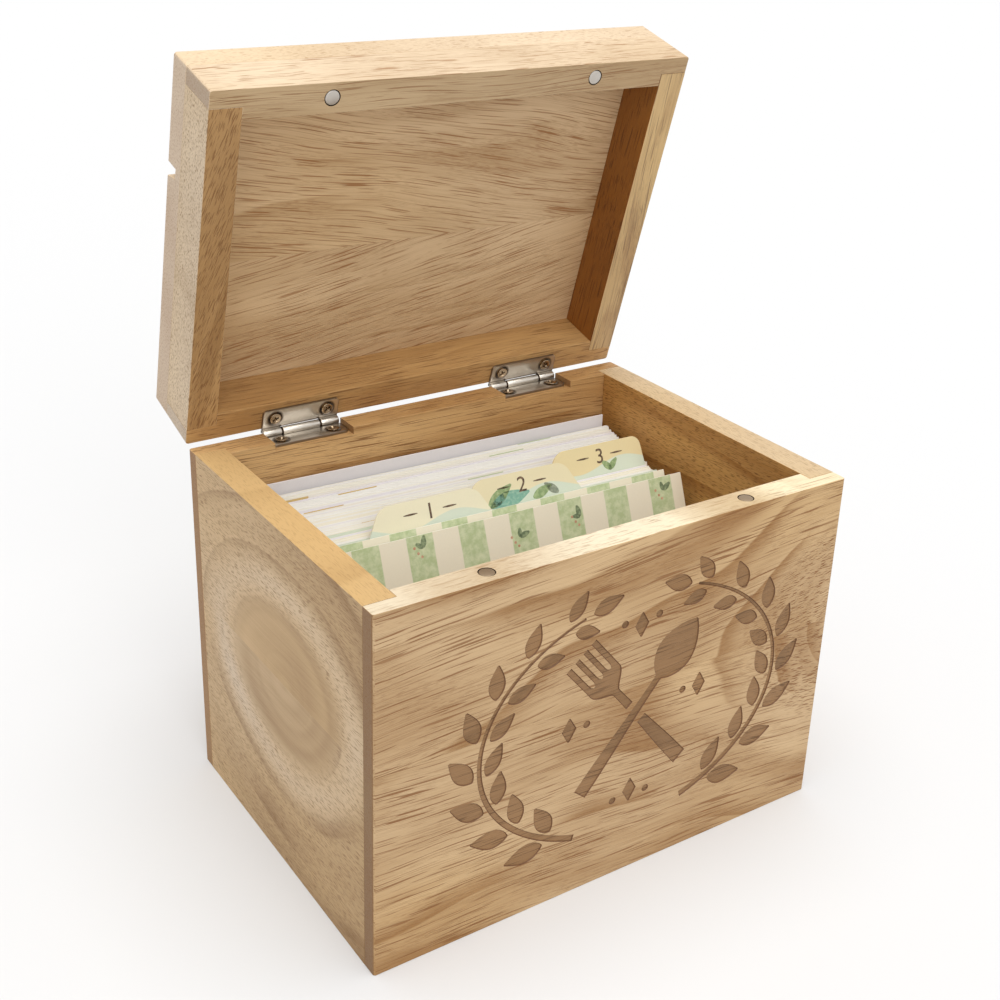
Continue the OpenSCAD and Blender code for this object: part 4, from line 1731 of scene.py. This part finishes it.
# %% Model the dividers
def divider(name, tab_place):
    """A card with its tab, the tab ending at the card's side where it would pass it."""
    middle = TAB_X + TAB_PITCH * tab_place
    left = middle - TAB_HALF - TAB_FLARE
    right = min(middle + TAB_HALF + TAB_FLARE, CARD_W / 2)
    piece = block(name, (-CARD_W / 2, 0, 0), (CARD_W / 2, CARD_T, CARD_H))
    edit(piece)
    for x in (left, right):
        if abs(x) < CARD_W / 2 - CLOSE:
            cut_across(x)
    pick_faces(piece, lambda centre, normal: normal.z > 0.9 and left < centre.x < right)
    extrude(0, 0, TAB_H)
    bpy.ops.mesh.select_all(action="DESELECT")
    mesh = bmesh.from_edit_mesh(piece.data)
    high_x = min(middle + TAB_HALF, CARD_W / 2)
    for vertex in mesh.verts:
        if vertex.co.z > CARD_H + CLOSE:
            vertex.co.x = middle - TAB_HALF if vertex.co.x < middle else high_x
    bmesh.update_edit_mesh(piece.data)
    low_z = CARD_H + TAB_H - CLOSE
    pick_edges(piece, lambda a, b: min(a.z, b.z) > low_z and abs(a.x - b.x) < CLOSE)
    bpy.ops.mesh.bevel(offset=TAB_CORNER, segments=8, affect="EDGES")
    done()
    round_edges(piece, PAPER_EDGE, 1, 60)
    note_places(piece, 0.5 + 0.5 * tab_place)
    return piece


DIVIDERS = {
    "right_tab_divider": (1, leaning(RIGHT_AT, -2 * MM, CARD_T)),
    "centre_tab_divider": (0, leaning(CENTRE_AT, -2 * MM, CARD_T)),
    "left_tab_divider": (-1, leaning(LEFT_AT, -2 * MM, CARD_T)),
}
for node, (tab_place, place) in DIVIDERS.items():
    piece = stand(divider(node.replace("_tab_", "_card_"), tab_place), place)
    dress(piece, divider_paper, node, "cream_card", node)

# %% [markdown]
# ## Print on the tabs
# Each tab carries a plain numeral between two short rules, in brown ink, and two of them have
# leaves in green below it. Ink has no thickness to speak of, so the shapes are a few hundredths
# of a millimetre thick and sit on the card.


# %% Inks
def ink(name, deep, faded):
    """A matt ink that is a little faded in places."""
    material, bench = new_material(name)
    fading = bench.step(bench.even_noise(bench.place(), 900.0), 0.35, 0.75)
    inputs = {"Base Color": bench.mix(fading, deep, faded), "Roughness": 0.7}
    finish_material(bench, bench.add("ShaderNodeBsdfPrincipled", inputs))
    return material


brown_ink = ink("brown ink", colour(78, 58, 44), colour(128, 106, 82))
green_ink = ink("green ink", colour(132, 154, 104), colour(168, 184, 136))
teal_ink = ink("teal ink", colour(122, 170, 150), colour(156, 190, 168))
grey_ink = ink("grey ink", colour(128, 136, 118), colour(158, 164, 142))
dark_ink = ink("dark green ink", colour(104, 120, 88), colour(152, 166, 126))
red_ink = ink("berry ink", colour(190, 140, 110), colour(214, 176, 146))

# %% Printing
INK_T = 0.03 * MM
NUMERAL_SIZE = 8 * MM
NUMERAL_Z = CARD_H + 3.6 * MM


def printed(spine, half_width, steps, material):
    """A ribbon of ink on the front of a sheet."""
    piece = ribbon(spine, half_width, steps, middle=(0, 0), face_y=INK_T)
    pull_out(piece, -2 * INK_T)
    done()
    piece.data.materials.append(material)
    return piece


def printed_leaf(x, z, turn, length, material):
    """One leaf; x, z and length are in millimetres."""
    return printed(straight((x, z), turn, length), leaf_width(length * 0.17), 14, material)


def numeral(text, x):
    """A numeral standing on the front of a sheet, as a solid."""
    none_selected()
    bpy.ops.object.text_add()
    letters = bpy.context.object.data
    letters.body = text
    letters.size = NUMERAL_SIZE
    letters.align_x = "CENTER"
    letters.extrude = INK_T
    bpy.ops.object.convert(target="MESH")
    piece = bpy.context.object
    piece.data.materials.clear()
    piece.data.materials.append(brown_ink)
    stood_up = Matrix.Rotation(math.pi / 2, 4, "X")
    piece.data.transform(Matrix.Translation((x, -INK_T, NUMERAL_Z)) @ stood_up)
    return piece


def finish_print(name, parts, place, body):
    """Joins what is printed on one sheet and stands it where the sheet stands."""
    piece = stand(join(name, parts), place)
    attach(piece, body)
    print(name, len(piece.data.polygons), "faces")


# %% Print the tabs
TAB_LEAVES = {
    -1: [],
    0: [
        (-15, -1.0, 12.5, green_ink),
        (-14, -1.4, 17, teal_ink),
        (4, -1.2, 9, green_ink),
        (15, 0.9, 7, grey_ink),
    ],
    1: [(3.5, -0.8, 5.5, green_ink), (4.5, 0.8, 5.5, green_ink)],
}
RULE_L = 5.5
RULE_OUT = 5
RULE_UP = 2.8
LEAF_UP = 0.4
rule_width = lambda t: (0.12 + 0.22 * math.sin(math.pi * t)) * MM


def tab_print(text, tab_place):
    """The numeral, a rule on each side of it and the leaves of one tab."""
    middle = TAB_X + TAB_PITCH * tab_place
    parts = [numeral(text, middle)]
    for side in (-1, 1):
        start = (middle / MM + side * RULE_OUT, NUMERAL_Z / MM + RULE_UP)
        outwards = straight(start, -side * math.pi / 2, RULE_L)
        parts.append(printed(outwards, rule_width, 16, brown_ink))
    for x, turn, length, material in TAB_LEAVES[tab_place]:
        z = CARD_H / MM + LEAF_UP
        parts.append(printed_leaf(middle / MM + x, z, turn, length, material))
    return parts


for text, (node, (tab_place, place)) in zip("321", DIVIDERS.items()):
    finish_print(node.replace("_divider", "_print"), tab_print(text, tab_place), place, node)

# %% [markdown]
# The front card has small sprigs scattered over its stripes, each of two dark leaves and a few
# reddish berries. They are printed in the same way.

# %% Print the front card
SPRIGS = [(-35, -4.5, 0.5), (3, -9, -0.6), (29, -7, 0.9), (67, -5, -0.3)]
BERRIES = [(-2.2, -1.6), (-3.4, 0.4), (-1.0, -3.0)]
parts = []
for x, down, turn in SPRIGS:
    z = FRONT_CARD_H / MM + down
    parts.append(printed_leaf(x, z, turn - 0.7, 4.2, dark_ink))
    parts.append(printed_leaf(x, z, turn + 0.5, 3.2, dark_ink))
    for step_x, step_z in BERRIES:
        spine = straight((x + step_x, z + step_z - 0.5), 0, 1.0)
        parts.append(printed(spine, dot_width(0.5), 8, red_ink))
finish_print("sprigs_on_front_card", parts, front_place, "front_striped_card")

# %% [markdown]
# ## The floor and the light
# The box stands on a plain white floor that runs into a white background. One broad lamp stands
# high in front, a second one above, and the pale surroundings fill the shadows. What the eye sees
# of the floor and the surroundings is lighter than the light they give to the box.


# %% The floor
def looked_at(bench):
    """1 for what the camera sees, straight or by way of metal or glass, and 0 for other light."""
    ray = bench.wires("ShaderNodeLightPath")
    mirrored = bench.larger(ray["Is Glossy Ray"], ray["Is Transmission Ray"])
    return bench.larger(ray["Is Camera Ray"], mirrored)


none_selected()
bpy.ops.mesh.primitive_plane_add(size=40, location=(0, 0, 0))
floor = bpy.context.object
floor.name = "floor"
floor_material, bench = new_material("white floor")
matt = bench.add("ShaderNodeBsdfDiffuse", {"Color": (0.68, 0.68, 0.68, 1)})
glow = bench.add("ShaderNodeEmission", {"Color": (1, 1, 1, 1), "Strength": 0.09})
lifted = bench.add("ShaderNodeAddShader", {0: matt, 1: glow})
finish_material(bench, bench.add("ShaderNodeMixShader", {0: looked_at(bench), 1: matt, 2: lifted}))
floor.data.materials.append(floor_material)
print("floor laid")

# %% The surroundings
WORLD_FILL = 0.45
world = bpy.data.worlds.new("studio")
bpy.context.scene.world = world
world.use_nodes = True
world.node_tree.nodes.clear()
bench = Bench(world.node_tree)
fill = bench.add("ShaderNodeBackground", {"Color": (1, 1, 1, 1), "Strength": WORLD_FILL})
white = bench.add("ShaderNodeBackground", {"Color": (1, 1, 1, 1), "Strength": 1.0})
choice = bench.add("ShaderNodeMixShader", {0: looked_at(bench), 1: fill, 2: white})
bench.node("ShaderNodeOutputWorld", {"Surface": choice})
print("surroundings lit")


# %% The lamps
def sun(name, towards, strength, spread):
    """Soft light from one direction, given as the way to the lamp; spread is in degrees."""
    data = bpy.data.lights.new(name, "SUN")
    data.energy = strength
    data.angle = math.radians(spread)
    holder = bpy.data.objects.new(name, data)
    bpy.context.scene.collection.objects.link(holder)
    holder.rotation_euler = Vector(towards).to_track_quat("Z", "Y").to_euler()
    print(name, strength)


sun("front light", (-0.22, -0.83, 0.50), 1.0, 50)
sun("top light", (0.0, -0.08, 1.0), 2.3, 60)

# %% Finish
bpy.context.scene.view_settings.view_transform = "Standard"
